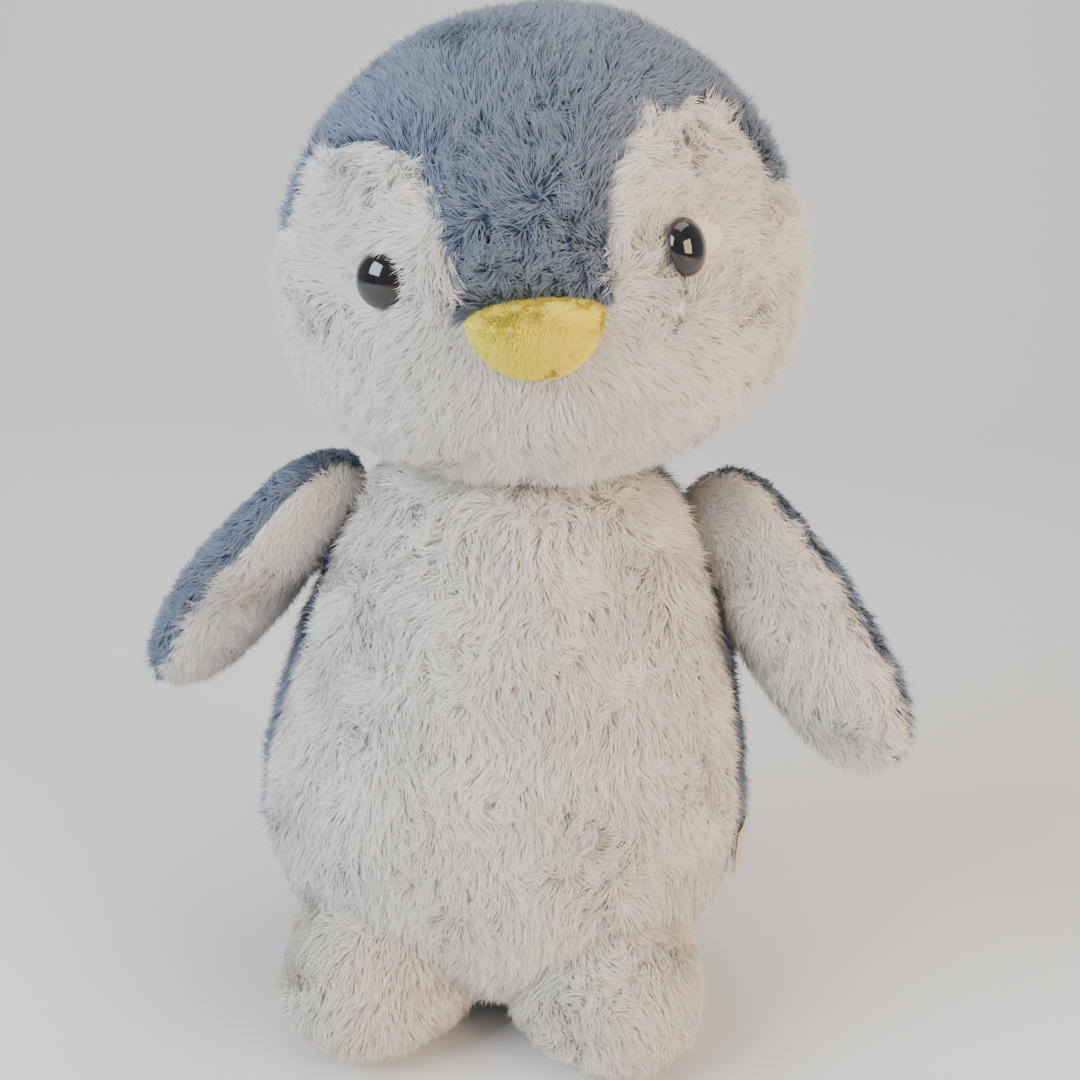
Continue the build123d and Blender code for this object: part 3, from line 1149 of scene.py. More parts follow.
@dataclass
class HeadForm:
    """The big round head: two white cheeks with lobes round the eyes, and a blue hood."""

    outline: tuple = (
        (0.0, -63.0), (18.0, -62.0), (36.0, -57.5), (54.0, -48.0), (66.0, -35.0), (72.0, -18.0), (73.0, -6.0),
        (72.0, 8.0), (66.5, 24.5), (57.5, 39.5), (45.0, 52.0), (31.0, 60.8), (16.0, 65.4), (0.0, 66.8),
    )
    depth_share: float = 0.835
    centre_height: float = 233.5
    tilt: float = 10.0
    seam_y: float = 8.0
    lobe_x: float = 39.0
    lobe_z: float = 12.0
    lobe_wide: float = 21.0
    lobe_high: float = 25.5
    eye_x: float = 39.5
    eye_z: float = 5.4
    beak_z: float = -9.0
    bald_radius: float = 5.8
    nape_drop: float = 6.0
    eye_shift: float = 2.5

    @property
    def place(self) -> Matrix:
        """Where the head stands, leaning to the viewer's left."""
        lean = Matrix.Rotation(math.radians(-self.tilt), 4, "Y")
        return Matrix.Translation((0, 0, self.centre_height)) @ lean

    def eye_at(self, side: Side) -> float:
        """How far to the side an eye sits; the right one is a little further out."""
        return self.eye_x * side.value + (self.eye_shift if side is Side.RIGHT else 0.0)

    def eye_gap(self, p: Points) -> np.ndarray:
        """How far points lie from the nearer eye, seen from the front."""
        gaps = [np.hypot(p[:, 0] - self.eye_at(side), p[:, 2] - self.eye_z) for side in Side]
        return np.minimum(*gaps)

    def white(self, p: Points) -> np.ndarray:
        """How far inside the white face a point lies, in millimetres; below 0 is the blue hood.

        Args:
            p: points in the form's own frame, in millimetres.

        Returns:
            The distance for each point.
        """
        x, y, z = np.abs(p[:, 0]), p[:, 1], p[:, 2]
        lobe = (1.0 - np.hypot((x - self.lobe_x) / self.lobe_wide, (z - self.lobe_z) / self.lobe_high)) * 20.0
        outside = np.minimum(lerp(27.0, 8.0, (x - 45.0) / 28.0) - z, 60.0)
        cheek = np.where(x > self.lobe_x, outside, x - 18.5)
        cheek = np.where(z > self.lobe_z, np.where(x > self.lobe_x, cheek, -99.0), cheek)
        chin = -z + self.beak_z + 4.0
        face = np.maximum(np.maximum(lobe, cheek), chin)
        return np.minimum(face, self.seam_y - y)

    def shaping(self, p: Points, n: Points) -> Points:
        """Swells of the filling, sockets under the eyes, and the dip along the seams.

        Args:
            p: points in the form's own frame, in millimetres.
            n: their outward normals.

        Returns:
            The shaped points.
        """
        out = p + n * soft_noise(p, 42.0, 31)[:, :1]
        out[:, 2] -= self.nape_drop * (1.0 - step_down(p[:, 1], 0.0, 24.0)) * step_down(p[:, 2], -62.0, -38.0)
        socket = np.exp(-(self.eye_gap(p) / 9.0) ** 2) * (p[:, 1] < 0)
        rim = np.exp(-((self.white(p) / 2.6) ** 2))
        back = np.exp(-((p[:, 0] / 2.6) ** 2)) * (p[:, 1] > self.seam_y)
        beak = np.exp(-(np.hypot(p[:, 0] / 16.0, (p[:, 2] - self.beak_z) / 9.0)) ** 4) * (p[:, 1] < 0)
        return out - n * ((socket * 3.2 + rim * 1.1 + back * 1.2 + beak * 1.5)[:, None])

    def face_comb(self, p: Points, n: Points) -> Points:
        """The white pile is combed out from the beak and down.

        Args:
            p: points in the form's own frame, in millimetres.
            n: their outward normals; not used.

        Returns:
            A combing direction for each point.
        """
        out = np.zeros_like(p)
        out[:, 0] = p[:, 0]
        out[:, 2] = p[:, 2] - self.beak_z + 4.0
        comb = unit(out) * 0.62
        comb[:, 2] -= 0.50
        return comb + soft_noise(p, 26.0, 41) * 0.3

    def hood_comb(self, p: Points, n: Points) -> Points:
        """The blue pile is combed up from the brow, over the top and down the back.

        Args:
            p: points in the form's own frame, in millimetres.
            n: their outward normals; not used.

        Returns:
            A combing direction for each point.
        """
        comb = np.zeros_like(p)
        front = step_down(p[:, 1], -20.0, 30.0)
        comb[:, 2] = lerp(-0.75, 0.55, front)
        comb[:, 1] = 0.55
        comb[:, 0] = np.sign(p[:, 0]) * 0.30 * front
        return comb + soft_noise(p, 28.0, 42) * 0.34

    def cut_face(self, p: Points, n: Points) -> np.ndarray:
        """Short pile round the eyes and the beak, longer on the cheeks and the chin.

        Args:
            p: points in the form's own frame, in millimetres.
            n: their outward normals; not used.

        Returns:
            The pile's share of its full length at each point.
        """
        eye = self.eye_gap(p)
        beak = np.hypot(p[:, 0] / 1.55, p[:, 2] - self.beak_z)
        front = p[:, 1] < 0
        short = np.maximum(step_down(eye, 7.5, 14.0) * 0.38, step_down(beak, 9.0, 20.0) * 0.5) * front
        return 1.0 - short

    def cut_hood(self, p: Points, n: Points) -> np.ndarray:
        """Finer on the crown, short above the beak.

        Args:
            p: points in the form's own frame, in millimetres.
            n: their outward normals; not used.

        Returns:
            The pile's share of its full length at each point.
        """
        crown = step_down(-p[:, 2], -60.0, -25.0)
        beak = np.hypot(p[:, 0] / 1.4, p[:, 2] - self.beak_z) + np.where(p[:, 1] < 0, 0.0, 99.0)
        return 1.0 - 0.22 * crown - 0.45 * step_down(beak, 8.0, 26.0)

    def bald(self, p: Points, n: Points) -> np.ndarray:
        """No pile under the eye's dome and under the beak.

        Args:
            p: points in the form's own frame, in millimetres.
            n: their outward normals; not used.

        Returns:
            The pile's share of its full density.
        """
        eye = self.eye_gap(p)
        beak = np.maximum(np.abs(p[:, 0]) - 12.0, np.abs(p[:, 2] - self.beak_z - 1.0) - 5.0)
        hidden = ((eye < self.bald_radius) | (beak < 0.0)) & (p[:, 1] < 0)
        return np.where(hidden, 0.0, 1.0)

    def make(self, maker: PileMaker) -> list[bpy.types.Object]:
        """Build the head.

        Args:
            maker: grows the piles.

        Returns:
            The pieces.
        """
        form = SoftForm(self.outline, self.depth_share, self.place, 190, 126)
        gusset_wide = lambda c: (
            lerp(18.0, 26.0, (c[:, 1] + 60.0) / 120.0) + 4.0 * step_down(-c[:, 2], -40.0, -20.0)
        )
        white = lambda c: self.white(c) > 0
        middle = lambda c: (np.abs(c[:, 0]) < gusset_wide(c)) & (c[:, 2] > -6.0)
        fine = PileCut(length=7.6, density=2.9, width=0.34, seed=20)
        made = []
        panels = []
        for side in Side:
            way = side.value
            here = lambda c, way=way: c[:, 0] * way >= 0
            panels.append(Panel(
                f"cheek_{side.word}", WHITE, PileCut(length=7.8, density=2.9, width=0.35, seed=22 + way),
                lambda c, n, here=here: white(c) & here(c), self.face_comb, self.cut_face, self.bald,
            ))
            panels.append(Panel(
                f"head_back_{side.word}", BLUE, PileCut(length=7.8, density=1.9, width=0.40, seed=26 + way),
                lambda c, n, here=here: ~white(c) & ~middle(c) & here(c), self.hood_comb, self.cut_hood,
                self.bald,
            ))
        panels.append(Panel(
            "crown_gusset", BLUE, fine, lambda c, n: ~white(c) & middle(c), self.hood_comb, self.cut_hood,
            self.bald,
        ))
        sewn = SewnForm(form, Body.HEAD, panels, stand=3.5, shaping=self.shaping)
        made += sewn.build(maker)
        made.append(sewn.stuffing("head_stuffing", 9.5))
        return made


@dataclass
class WingForm:
    """One flipper: a white face inside and a blue face outside, round where they meet."""

    side: Side
    outline: tuple = (
        (0.0, -24.0), (11.5, -21.0), (19.5, -12.0), (22.3, 2.0), (22.8, 18.0), (22.8, 34.0), (22.0, 48.0),
        (19.6, 61.0), (14.8, 71.0), (8.0, 77.5), (0.0, 79.5),
    )
    thick_share: float = 0.60

    @property
    def splay(self) -> float:
        """How far the wing stands out from hanging straight down, in degrees."""
        return 34.0 if self.side is Side.LEFT else 39.0

    @property
    def swing(self) -> float:
        """How far the tip swings back, in degrees."""
        return 14.0 if self.side is Side.LEFT else -24.0

    @property
    def twist(self) -> float:
        """How far the white face turns to the front, in degrees."""
        return 28.0 if self.side is Side.LEFT else 55.0

    @property
    def place(self) -> Matrix:
        """The wing's frame at its pivot: Z toward the tip and -Y out of the white face.

        Returns:
            The frame.
        """
        sign = self.side.value
        splay, swing, twist = (math.radians(a) for a in (self.splay, self.swing, self.twist))
        tipward = Vector((sign * math.sin(splay), math.cos(splay) * math.tan(swing), -math.cos(splay)))
        tipward.normalize()
        inward = Vector((-sign * math.cos(splay), 0.0, -math.sin(splay)))
        front = tipward.cross(inward) * (1 if sign < 0 else -1)
        white = (inward * math.cos(twist) + front * math.sin(twist)).normalized()
        width = (-white).cross(tipward).normalized()
        turn = Matrix((width, -white, tipward)).transposed().to_4x4()
        pivot = joint_point(f"{self.side.word}_wing_lift")
        return Matrix.Translation(pivot) @ turn

    def border(self, p: Points) -> np.ndarray:
        """How far points lie behind the border of white and blue; the left wing shows more blue."""
        return p[:, 1] + (2.0 if self.side is Side.LEFT else 0.0)

    def shaping(self, p: Points, n: Points) -> Points:
        """Swells of the filling, and the dip along the seam.

        Args:
            p: points in the form's own frame, in millimetres.
            n: their outward normals.

        Returns:
            The shaped points.
        """
        out = p + n * soft_noise(p, 30.0, 51 + self.side.value)[:, :1] * 0.7
        seam = np.exp(-((self.border(p) / 1.8) ** 2))
        return out - n * (seam * 1.1)[:, None]

    def comb(self, p: Points, n: Points) -> Points:
        """The pile is combed to the tip."""
        return np.array([0.0, 0.0, 0.85]) + soft_noise(p, 22.0, 55) * 0.3

    def trimmed(self, p: Points, n: Points) -> np.ndarray:
        """Shorter pile at the root, under the arm."""
        return 1.0 - 0.45 * step_down(p[:, 2], -6.0, 18.0)

    def make(self, maker: PileMaker) -> list[bpy.types.Object]:
        """Build the wing.

        Args:
            maker: grows the piles.

        Returns:
            The pieces.
        """
        form = SoftForm(self.outline, self.thick_share, self.place, 70, 60)
        cut = PileCut(length=6.8, density=2.8, width=0.36, seed=60 + self.side.value)
        inner = Panel(
            f"wing_inner_{self.side.word}", WHITE, cut, lambda c, n: self.border(c) < 0, self.comb,
            self.trimmed,
        )
        outer = Panel(
            f"wing_outer_{self.side.word}", BLUE, cut, lambda c, n: self.border(c) >= 0, self.comb,
            self.trimmed,
        )
        sewn = SewnForm(form, self.side.wing_body, [inner, outer], stand=3.0, shaping=self.shaping)
        return sewn.build(maker) + [sewn.stuffing(f"wing_stuffing_{self.side.word}", 6.5)]


@dataclass
class FootForm:
    """One stubby foot, splayed, with a flat sole."""

    side: Side
    outline: tuple = (
        (0.0, 0.2), (9.0, 0.2), (18.5, 1.4), (25.0, 6.2), (28.4, 14.0), (28.6, 21.0), (27.0, 30.0),
        (23.5, 38.5), (16.5, 46.5), (8.5, 50.5), (0.0, 51.5),
    )
    long_share: float = 1.32
    place_x: float = 32.0
    place_y: float = -29.0
    splay: float = 26.0
    sole_height: float = 4.6
    hidden_depth: float = 22.0

    @property
    def place(self) -> Matrix:
        """Where the foot stands.

        Returns:
            The frame.
        """
        sign = self.side.value
        turn = Matrix.Rotation(math.radians(sign * self.splay), 4, "Z")
        return Matrix.Translation((sign * self.place_x, self.place_y, 0)) @ turn

    def shaping(self, p: Points, n: Points) -> Points:
        """Swells of the filling above the sole."""
        lift = 1.0 - step_down(p[:, 2], 3.0, 12.0)
        return p + n * (soft_noise(p, 28.0, 71 + self.side.value)[:, 0] * 0.9 * lift)[:, None]

    def comb(self, p: Points, n: Points) -> Points:
        """The pile is combed forward and down.

        Args:
            p: points in the form's own frame, in millimetres.
            n: their outward normals; not used.

        Returns:
            A combing direction for each point.
        """
        out = np.tile(np.array([0.0, -0.45, -0.60]), (len(p), 1))
        out[:, 2] *= 1.0 - 0.8 * step_down(p[:, 2], 5.0, 14.0)
        return out + soft_noise(p, 20.0, 75) * 0.35

    def trimmed(self, p: Points, n: Points) -> np.ndarray:
        """Shorter pile by the floor."""
        return 1.0 - 0.5 * step_down(p[:, 2], 3.0, 14.0)

    def make(self, maker: PileMaker) -> list[bpy.types.Object]:
        """Build the foot.

        Args:
            maker: grows the piles.

        Returns:
            The pieces.
        """
        form = SoftForm(self.outline, self.long_share, self.place, 80, 60)
        cut = PileCut(length=6.6, density=2.7, width=0.37, wander=1.1, seed=80 + self.side.value)
        short = PileCut(length=3.0, density=1.5, width=0.5, rise=0.25, seed=84 + self.side.value)
        shown = lambda c: (c[:, 1] < self.hidden_depth) | (c[:, 2] < 26.0)
        upper = Panel(
            f"foot_upper_{self.side.word}", CREAM, cut,
            lambda c, n: (c[:, 2] > self.sole_height) & shown(c), self.comb, self.trimmed,
        )
        sole = Panel(
            f"foot_sole_{self.side.word}", SOLE, short, lambda c, n: c[:, 2] <= self.sole_height, self.comb,
        )
        sewn = SewnForm(form, Body.TORSO, [upper, sole], stand=2.0, shaping=self.shaping)
        return sewn.build(maker) + [sewn.stuffing(f"foot_stuffing_{self.side.word}", 5.0)]


@dataclass
class BeakForm:
    """The beak: a puffed half-moon cushion of nubby fleece in two halves."""

    head: HeadForm
    half_width: float = 17.6
    high: float = 19.6
    depth: float = 15.5
    top_z: float = -1.6
    front_y: float = -57.0
    around: int = 64
    along: int = 50

    def surface(self) -> tuple[Points, Points, np.ndarray]:
        """The cushion's grid, in the head's frame: flat above, round below, puffed to the front.

        Returns:
            Vertices, outward normals and faces.
        """
        around, along = self.around, self.along
        lon = np.linspace(0, 2 * math.pi, around, endpoint=False)
        lat = np.linspace(-math.pi / 2, math.pi / 2, along)[1:-1]
        u = np.cos(lat)[:, None] * np.cos(lon)
        w = np.repeat(np.sin(lat)[:, None], around, axis=1)
        v = np.cos(lat)[:, None] * np.sin(lon)
        u, v, w = (np.append(a.ravel(), e) for a, e in ((u, (0, 0)), (v, (0, 0)), (w, (-1, 1))))
        high = np.where(w > 0, 0.27, 0.80) * self.high
        wide = 1.0 - 0.10 * np.clip(-w, 0, 1)
        x = self.half_width * np.sign(u) * np.abs(u) ** 0.92 * wide
        z = self.top_z - 0.27 * self.high + w * high
        puff = 1.0 - 0.18 * np.clip(-w, 0, 1)
        y = self.front_y + v * self.depth * puff
        points = np.stack([x, y, z], -1)
        faces = ring_faces(along - 2, around)
        return points, normals_of(points, faces), faces

    def comb(self, p: Points, n: Points) -> Points:
        """Fleece lies nearly every way, a little more down than up."""
        return np.array([0.0, 0.0, -0.6]) + soft_noise(p, 3.0, 91) * 0.25

    def make(self, maker: PileMaker) -> list[bpy.types.Object]:
        """Build the beak.

        Args:
            maker: grows the piles.

        Returns:
            The pieces.
        """
        seam_z = self.top_z - 0.27 * self.high - 1.2
        form = GivenForm(self, self.head.place)
        cut = PileCut(
            length=1.5, density=11.0, width=0.34, rise=0.8, wander=0.8, tuft=1.1, clump=0.25, seed=92
        )
        half = {"upper": lambda c, n: c[:, 2] > seam_z, "lower": lambda c, n: c[:, 2] <= seam_z}
        panels = [Panel(f"beak_{word}", YELLOW, cut, rule, self.comb) for word, rule in half.items()]
        crease = lambda p, n: p - n * (np.exp(-(((p[:, 2] - seam_z) / 0.9) ** 2)) * 0.25)[:, None]
        sewn = SewnForm(form, Body.HEAD, panels, stand=0.9, backing=0.8, shaping=crease)
        return sewn.build(maker) + [sewn.stuffing("beak_stuffing", 3.0)]


@dataclass
class GivenForm:
    """A form whose maker gives its own grid."""

    maker: BeakForm
    place: Matrix

    def coarse(self) -> "GivenForm":
        """The same form with fewer faces, for what lies inside."""
        return replace(self, maker=replace(self.maker, around=32, along=24))

    def surface(self) -> tuple[Points, Points, np.ndarray]:
        """The maker's grid."""
        return self.maker.surface()


# ---------------------------------------------------------------- hard and small pieces


def turned(
    name: str, outline: Sequence[tuple[float, float]], place: Matrix, around: int = 64
) -> bpy.types.Object:
    """A closed piece turned about its own Z.

    Args:
        name: the object's name.
        outline: (radius, height) points from bottom to top, both ends on the axis.
        place: where it stands, in millimetres.
        around: faces round it.

    Returns:
        The object.
    """
    ring = np.array(outline[1:-1], float)
    turn = np.linspace(0, 2 * math.pi, around, endpoint=False)
    x = ring[:, :1] * np.cos(turn)
    y = ring[:, :1] * np.sin(turn)
    z = np.repeat(ring[:, 1:], around, axis=1)
    points = np.stack([x, y, z], -1).reshape(-1, 3)
    points = np.vstack([points, [0, 0, outline[0][1]], [0, 0, outline[-1][1]]])
    return make_mesh(name, apply_place(place, points), ring_faces(len(ring), around))


@dataclass
class SafetyEye:
    """One glossy safety eye and the washer that locks it behind the cloth."""

    head: HeadForm
    side: Side
    radius: float = 7.5
    dome: float = 5.0
    seat: float = 3.9
    shank_radius: float = 2.0
    shank_length: float = 13.0
    washer_radius: float = 8.0
    washer_thick: float = 1.5
    washer_depth: float = 6.5
    turned_out: float = 32.0

    @property
    def place(self) -> Matrix:
        """The eye's frame on the face, Z out of it; the right one is turned a little outward.

        Returns:
            The frame.
        """
        form = SoftForm(self.head.outline, self.head.depth_share, Matrix.Identity(4), 460, 300)
        points, normals, _ = form.surface()
        gap = np.hypot(points[:, 0] - self.head.eye_at(self.side), points[:, 2] - self.head.eye_z)
        gap = gap + np.where(points[:, 1] > 0, 999.0, 0.0)
        nearest = int(np.argmin(gap))
        out = Vector(normals[nearest])
        if self.side is Side.RIGHT:
            out.rotate(Matrix.Rotation(math.radians(self.turned_out), 3, "Z"))
        turn = out.to_track_quat("Z", "Y").to_matrix().to_4x4()
        return self.head.place @ Matrix.Translation(points[nearest]) @ turn

    def make(self) -> list[bpy.types.Object]:
        """Build the eye and its washer.

        Returns:
            The pieces.
        """
        r, top = self.radius, self.dome - self.seat
        steps = np.linspace(0.0, math.pi / 2, 22)
        dome = [(r * math.cos(a), top - self.dome + self.dome * math.sin(a)) for a in steps[:-1]]
        foot = top - self.dome
        neck = [
            (0.0, foot - self.shank_length), (self.shank_radius - 0.4, foot - self.shank_length),
            (self.shank_radius, foot - self.shank_length + 0.6), (self.shank_radius, foot - 1.2),
            (r - 0.8, foot - 0.9), (r, foot - 0.3),
        ]
        eye = turned(f"eye_dome_{self.side.word}", neck + dome + [(0.0, top)], self.place, 96)
        eye.data.materials.append(gloss_black())
        w, t = self.washer_radius, self.washer_thick
        down = foot - self.washer_depth
        inner = self.shank_radius + 0.15
        behind = self.place @ Matrix.Translation((0, 0, down))
        washer = washer_ring(f"washer_{self.side.word}", inner, w, t, behind)
        washer.data.materials.append(moulded_white())
        settle_piece(eye, Body.HEAD, f"eye_{self.side.word}")
        settle_piece(washer, Body.HEAD, f"eye_washer_{self.side.word}")
        return [eye, washer]


def washer_ring(name: str, inner: float, outer: float, thick: float, place: Matrix) -> bpy.types.Object:
    """A flat ring with softened edges.

    Args:
        name: the object's name.
        inner: the hole's radius.
        outer: its own radius.
        thick: its thickness.
        place: where it lies.

    Returns:
        The object.
    """
    soft = 0.3
    section = [
        (inner, soft), (inner + soft, 0), (outer - soft, 0), (outer, soft),
        (outer, thick - soft), (outer - soft, thick), (inner + soft, thick), (inner, thick - soft),
    ]
    return swept_ring(name, np.array(section), 48, place)


def swept_ring(name: str, section: np.ndarray, around: int, place: Matrix) -> bpy.types.Object:
    """A closed section swept round Z.

    Args:
        name: its name.
        section: (radius, height) corners of the section.
        around: how many steps it takes round.
        place: where it stands, in millimetres.

    Returns:
        The object.
    """
    turn = np.linspace(0, 2 * math.pi, around, endpoint=False)
    size = len(section)
    points = np.array([(r * math.cos(a), r * math.sin(a), z) for a in turn for r, z in section])
    faces = []
    for i in range(around):
        for j in range(size):
            a, b = i * size, ((i + 1) % around) * size
            faces.append((a + j, b + j, b + (j + 1) % size, a + (j + 1) % size))
    return make_mesh(name, apply_place(place, points), np.array(faces))


def thread_mesh(name: str, runs: Sequence[np.ndarray], radius: float, sides: int = 6) -> bpy.types.Object:
    """Lengths of thread as tubes.

    Args:
        name: the object's name.
        runs: the points along each length, in millimetres.
        radius: the thread's radius.
        sides: faces round it.

    Returns:
        The object.
    """
    points, faces = [], []
    for run in runs:
        along = np.gradient(run, axis=0)
        along = unit(along)
        helper = np.array([0.0, 0.0, 1.0]) if abs(along[0, 2]) < 0.8 else np.array([1.0, 0.0, 0.0])
        side = unit(np.cross(along, helper))
        up = np.cross(side, along)
        start = len(points)
        for p, s, u in zip(run, side, up):
            for k in range(sides):
                a = 2 * math.pi * k / sides
                points.append(p + radius * (s * math.cos(a) + u * math.sin(a)))
        for i in range(len(run) - 1):
            for k in range(sides):
                a, b = start + i * sides, start + (i + 1) * sides
                faces.append((a + k, a + (k + 1) % sides, b + (k + 1) % sides, b + k))
        for end, order in ((start, -1), (start + (len(run) - 1) * sides, 1)):
            for k in range(1, sides - 1):
                trio = (end, end + k, end + k + 1)
                faces.append((*(trio if order > 0 else trio[::-1]), -1))
    return make_mesh(name, np.array(points), np.array(faces))


@dataclass
class SmallParts:
    """The closing stitches, the neck's seam and wad, and the folded side label."""

    stitches: int = 8
    stitch_spacing: float = 5.0
    stitch_lowest: float = 62.0
    stitch_width: float = 6.0
    label_height: float = 14.0
    label_length: float = 13.0
    label_thick: float = 0.35
    label_turn: float = 75.0
    label_rise: float = 6.0
    label_out: float = 2.0
    neck_radius: float = 29.0
    neck_fill: float = 0.7
    seam_inset: float = 2.5

    def closing(self) -> bpy.types.Object:
        """Hand stitches that close the back, each a little slanted.

        Returns:
            The piece.
        """
        draw = np.random.default_rng(5)
        low, high = box_mm("closing_thread")
        y = (low[1] + high[1]) / 2
        runs = []
        for row in range(self.stitches):
            z = self.stitch_lowest + row * self.stitch_spacing + draw.uniform(-0.4, 0.4)
            t = np.linspace(-1, 1, 9)
            x = t * self.stitch_width / 2
            runs.append(np.stack([x, y + 0.5 - 1.4 * t**2, z + t * draw.uniform(0.4, 1.2)], -1))
        thread = thread_mesh("closing_stitches", runs, 0.4)
        thread.data.materials.append(twisted_thread())
        settle_piece(thread, Body.TORSO, "closing_thread")
        return thread

    def neck(self) -> list[bpy.types.Object]:
        """The wad of filling in the neck and the thread round it.

        Returns:
            The pieces.
        """
        point = joint_point("head_tilt")
        steps = np.linspace(-1, 1, 11) * math.pi / 2
        outline = [(self.neck_radius * math.cos(a), self.neck_radius * math.sin(a)) for a in steps]
        ball = SoftForm(outline, 1.0, Matrix.Translation(point), 60, 40)
        points, normals, faces = ball.surface()
        points = points + normals * (soft_noise(points, 18.0, 7)[:, :1] * 0.6 - 0.6)
        wad = make_mesh("neck_wad", apply_place(ball.place, points), faces)
        wad.data.materials.append(fibre_fill())
        settle_piece(wad, Body.NECK, "neck_stuffing")
        low, high = box_mm("neck_seam_thread")
        middle, half = (low + high) / 2, (high - low) / 2
        turn = np.linspace(0, 2 * math.pi, 160)
        wave = np.sin(turn * 26) * 0.35
        wide, deep = (half[k] - self.seam_inset + wave * 0.4 for k in (0, 1))
        across, along = middle[0] + wide * np.cos(turn), middle[1] + deep * np.sin(turn)
        ring = np.stack([across, along, middle[2] + wave], -1)
        thread = thread_mesh("neck_seam", [ring], 0.4, 5)
        thread.data.materials.append(twisted_thread())
        settle_piece(thread, Body.NECK, "neck_seam_thread")
        return [wad, thread]

    def label(self) -> bpy.types.Object:
        """A folded loop of plain ribbon, its ends caught in the side seam.

        Returns:
            The piece.
        """
        low, high = box_mm("side_label")
        turn = math.radians(self.label_turn)
        way = np.array([math.cos(turn), math.sin(turn), 0.0])
        side = np.array([-math.sin(turn), math.cos(turn), 0.0])
        start = np.array([low[0] + self.label_out, low[1] + 0.4, (low[2] + high[2]) / 2 + self.label_rise])
        t = np.linspace(0, 1, 15)
        half = 0.30 + 0.55 * np.sin(np.pi * t * 0.9)
        out = [start + way * self.label_length * a + side * h for a, h in zip(t, half)]
        back = [start + way * self.label_length * a - side * h for a, h in zip(t[::-1], half[::-1])]
        tip = start + way * (self.label_length + 0.5)
        path = np.array([*out, tip, *back])
        along = unit(np.gradient(path, axis=0))
        outward = np.cross(along, [0, 0, 1.0])
        rows = []
        for level in (-0.5, -0.49, 0.49, 0.5):
            edge = self.label_thick * (0.35 if abs(level) == 0.5 else 0.5)
            rise = np.array([0, 0, level * self.label_height])
            rows.append((path + outward * edge + rise, path - outward * edge + rise))
        order = [row[0] for row in rows] + [row[1] for row in reversed(rows)]
        grid = np.stack(order, 1)
        n, m = grid.shape[:2]
        faces = []
        for i in range(n - 1):
            for j in range(m):
                a, b = i * m, (i + 1) * m
                faces.append((a + j, a + (j + 1) % m, b + (j + 1) % m, b + j))
        for end, order in ((0, -1), ((n - 1) * m, 1)):
            for k in range(1, m - 1):
                trio = (end, end + k, end + k + 1)
                faces.append((*(trio if order > 0 else trio[::-1]), -1))
        ribbon = make_mesh("label_ribbon_loop", grid.reshape(-1, 3), np.array(faces))
        ribbon.data.materials.append(satin_ribbon())
        settle_piece(ribbon, Body.TORSO, "side_label")
        return ribbon

    def make(self) -> list[bpy.types.Object]:
        """Build them all."""
        return [self.closing(), self.label(), *self.neck()]


# ---------------------------------------------------------------- light, floor and camera


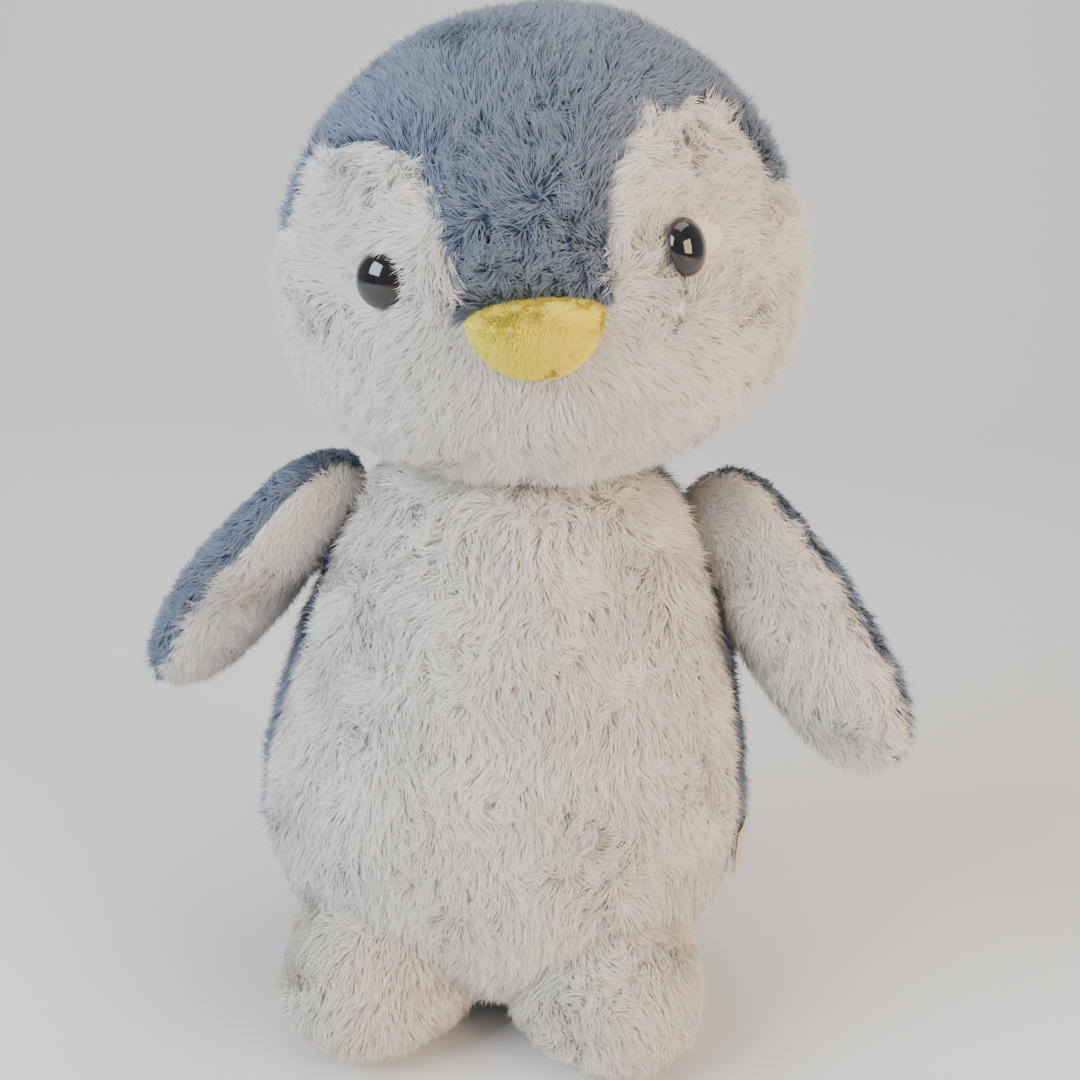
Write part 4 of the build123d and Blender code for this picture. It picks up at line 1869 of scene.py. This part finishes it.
@dataclass
class Studio:
    """A pale floor, soft light and the camera."""

    camera_at: tuple[float, float, float] = (6.0, -425.0, 300.0)
    pitch: float = 19.6
    roll: float = 3.8
    lens: float = 50.3

    def floor(self) -> None:
        """A pale floor that sweeps up behind."""
        bend = [(y, 0.0) for y in (-2000.0, 700.0)]
        bend += [(700 + 600 * math.sin(a), 600 - 600 * math.cos(a)) for a in np.linspace(0.1, math.pi / 2, 14)]
        bend.append((1300.0, 3000.0))
        points = np.array([(x, y, z) for y, z in bend for x in (-2500.0, 2500.0)])
        rows = [(2 * i, 2 * i + 1, 2 * i + 3, 2 * i + 2) for i in range(len(bend) - 1)]
        plane = make_mesh("floor", points, np.array(rows))
        shader = Shader("pale_floor", 0.8)
        shader.principled.inputs["Base Color"].default_value = (0.80, 0.80, 0.81, 1.0)
        plane.data.materials.append(shader.material)

    def lamp(self, name: str, at: Sequence[float], size: float, power: float, colour: Sequence[float]) -> None:
        """A soft area lamp that looks at the toy.

        Args:
            name: its name.
            at: where it hangs, in metres.
            size: its width, in metres.
            power: its power, in watts.
            colour: its colour.
        """
        data = bpy.data.lights.new(name, "AREA")
        data.size = size
        data.energy = power
        data.color = colour
        lamp = bpy.data.objects.new(name, data)
        lamp.location = at
        aim = Vector((0, 0, 0.15)) - Vector(at)
        lamp.rotation_euler = aim.to_track_quat("-Z", "Y").to_euler()
        bpy.context.scene.collection.objects.link(lamp)

    def camera(self) -> None:
        """The camera."""
        data = bpy.data.cameras.new("camera")
        data.lens = self.lens
        data.sensor_width = 36.0
        data.clip_start = 0.02
        camera = bpy.data.objects.new("camera", data)
        aim = Matrix.Rotation(math.radians(90.0 - self.pitch), 4, "X")
        turn = aim @ Matrix.Rotation(math.radians(self.roll), 4, "Z")
        camera.matrix_world = Matrix.Translation(Vector(self.camera_at) * MM) @ turn
        bpy.context.scene.collection.objects.link(camera)
        bpy.context.scene.camera = camera

    def make(self) -> None:
        """Set up the studio."""
        self.camera()
        self.floor()
        self.lamp("window", (-0.9, -0.6, 0.75), 0.7, 18.0, (0.84, 0.92, 1.0))
        self.lamp("warm", (0.9, -0.65, 0.55), 0.7, 15.5, (1.0, 0.74, 0.46))
        self.lamp("top", (0.1, 0.2, 1.3), 1.0, 8.0, (1.0, 0.98, 0.95))
        world = bpy.data.worlds.new("room")
        world.use_nodes = True
        world.node_tree.nodes["Background"].inputs["Color"].default_value = (0.75, 0.78, 0.82, 1.0)
        world.node_tree.nodes["Background"].inputs["Strength"].default_value = 0.45
        bpy.context.scene.world = world


@dataclass
class Penguin:
    """The whole toy."""

    body: BodyForm = field(default_factory=BodyForm)
    head: HeadForm = field(default_factory=HeadForm)
    small: SmallParts = field(default_factory=SmallParts)

    def make(self) -> list[bpy.types.Object]:
        """Build every sub-assembly.

        Returns:
            The pieces.
        """
        maker = PileMaker()
        made = self.body.make(maker) + self.head.make(maker)
        made += BeakForm(self.head).make(maker)
        for side in Side:
            made += WingForm(side).make(maker) + FootForm(side).make(maker)
            made += SafetyEye(self.head, side).make()
        made += self.small.make()
        bpy.data.objects.remove(maker.blade)
        return made


def main() -> None:
    """Build the toy and light it."""
    logging.basicConfig(level=logging.INFO, format="%(name)s %(message)s")
    Penguin().make()
    Studio().make()


if __name__ == "__main__":
    main()
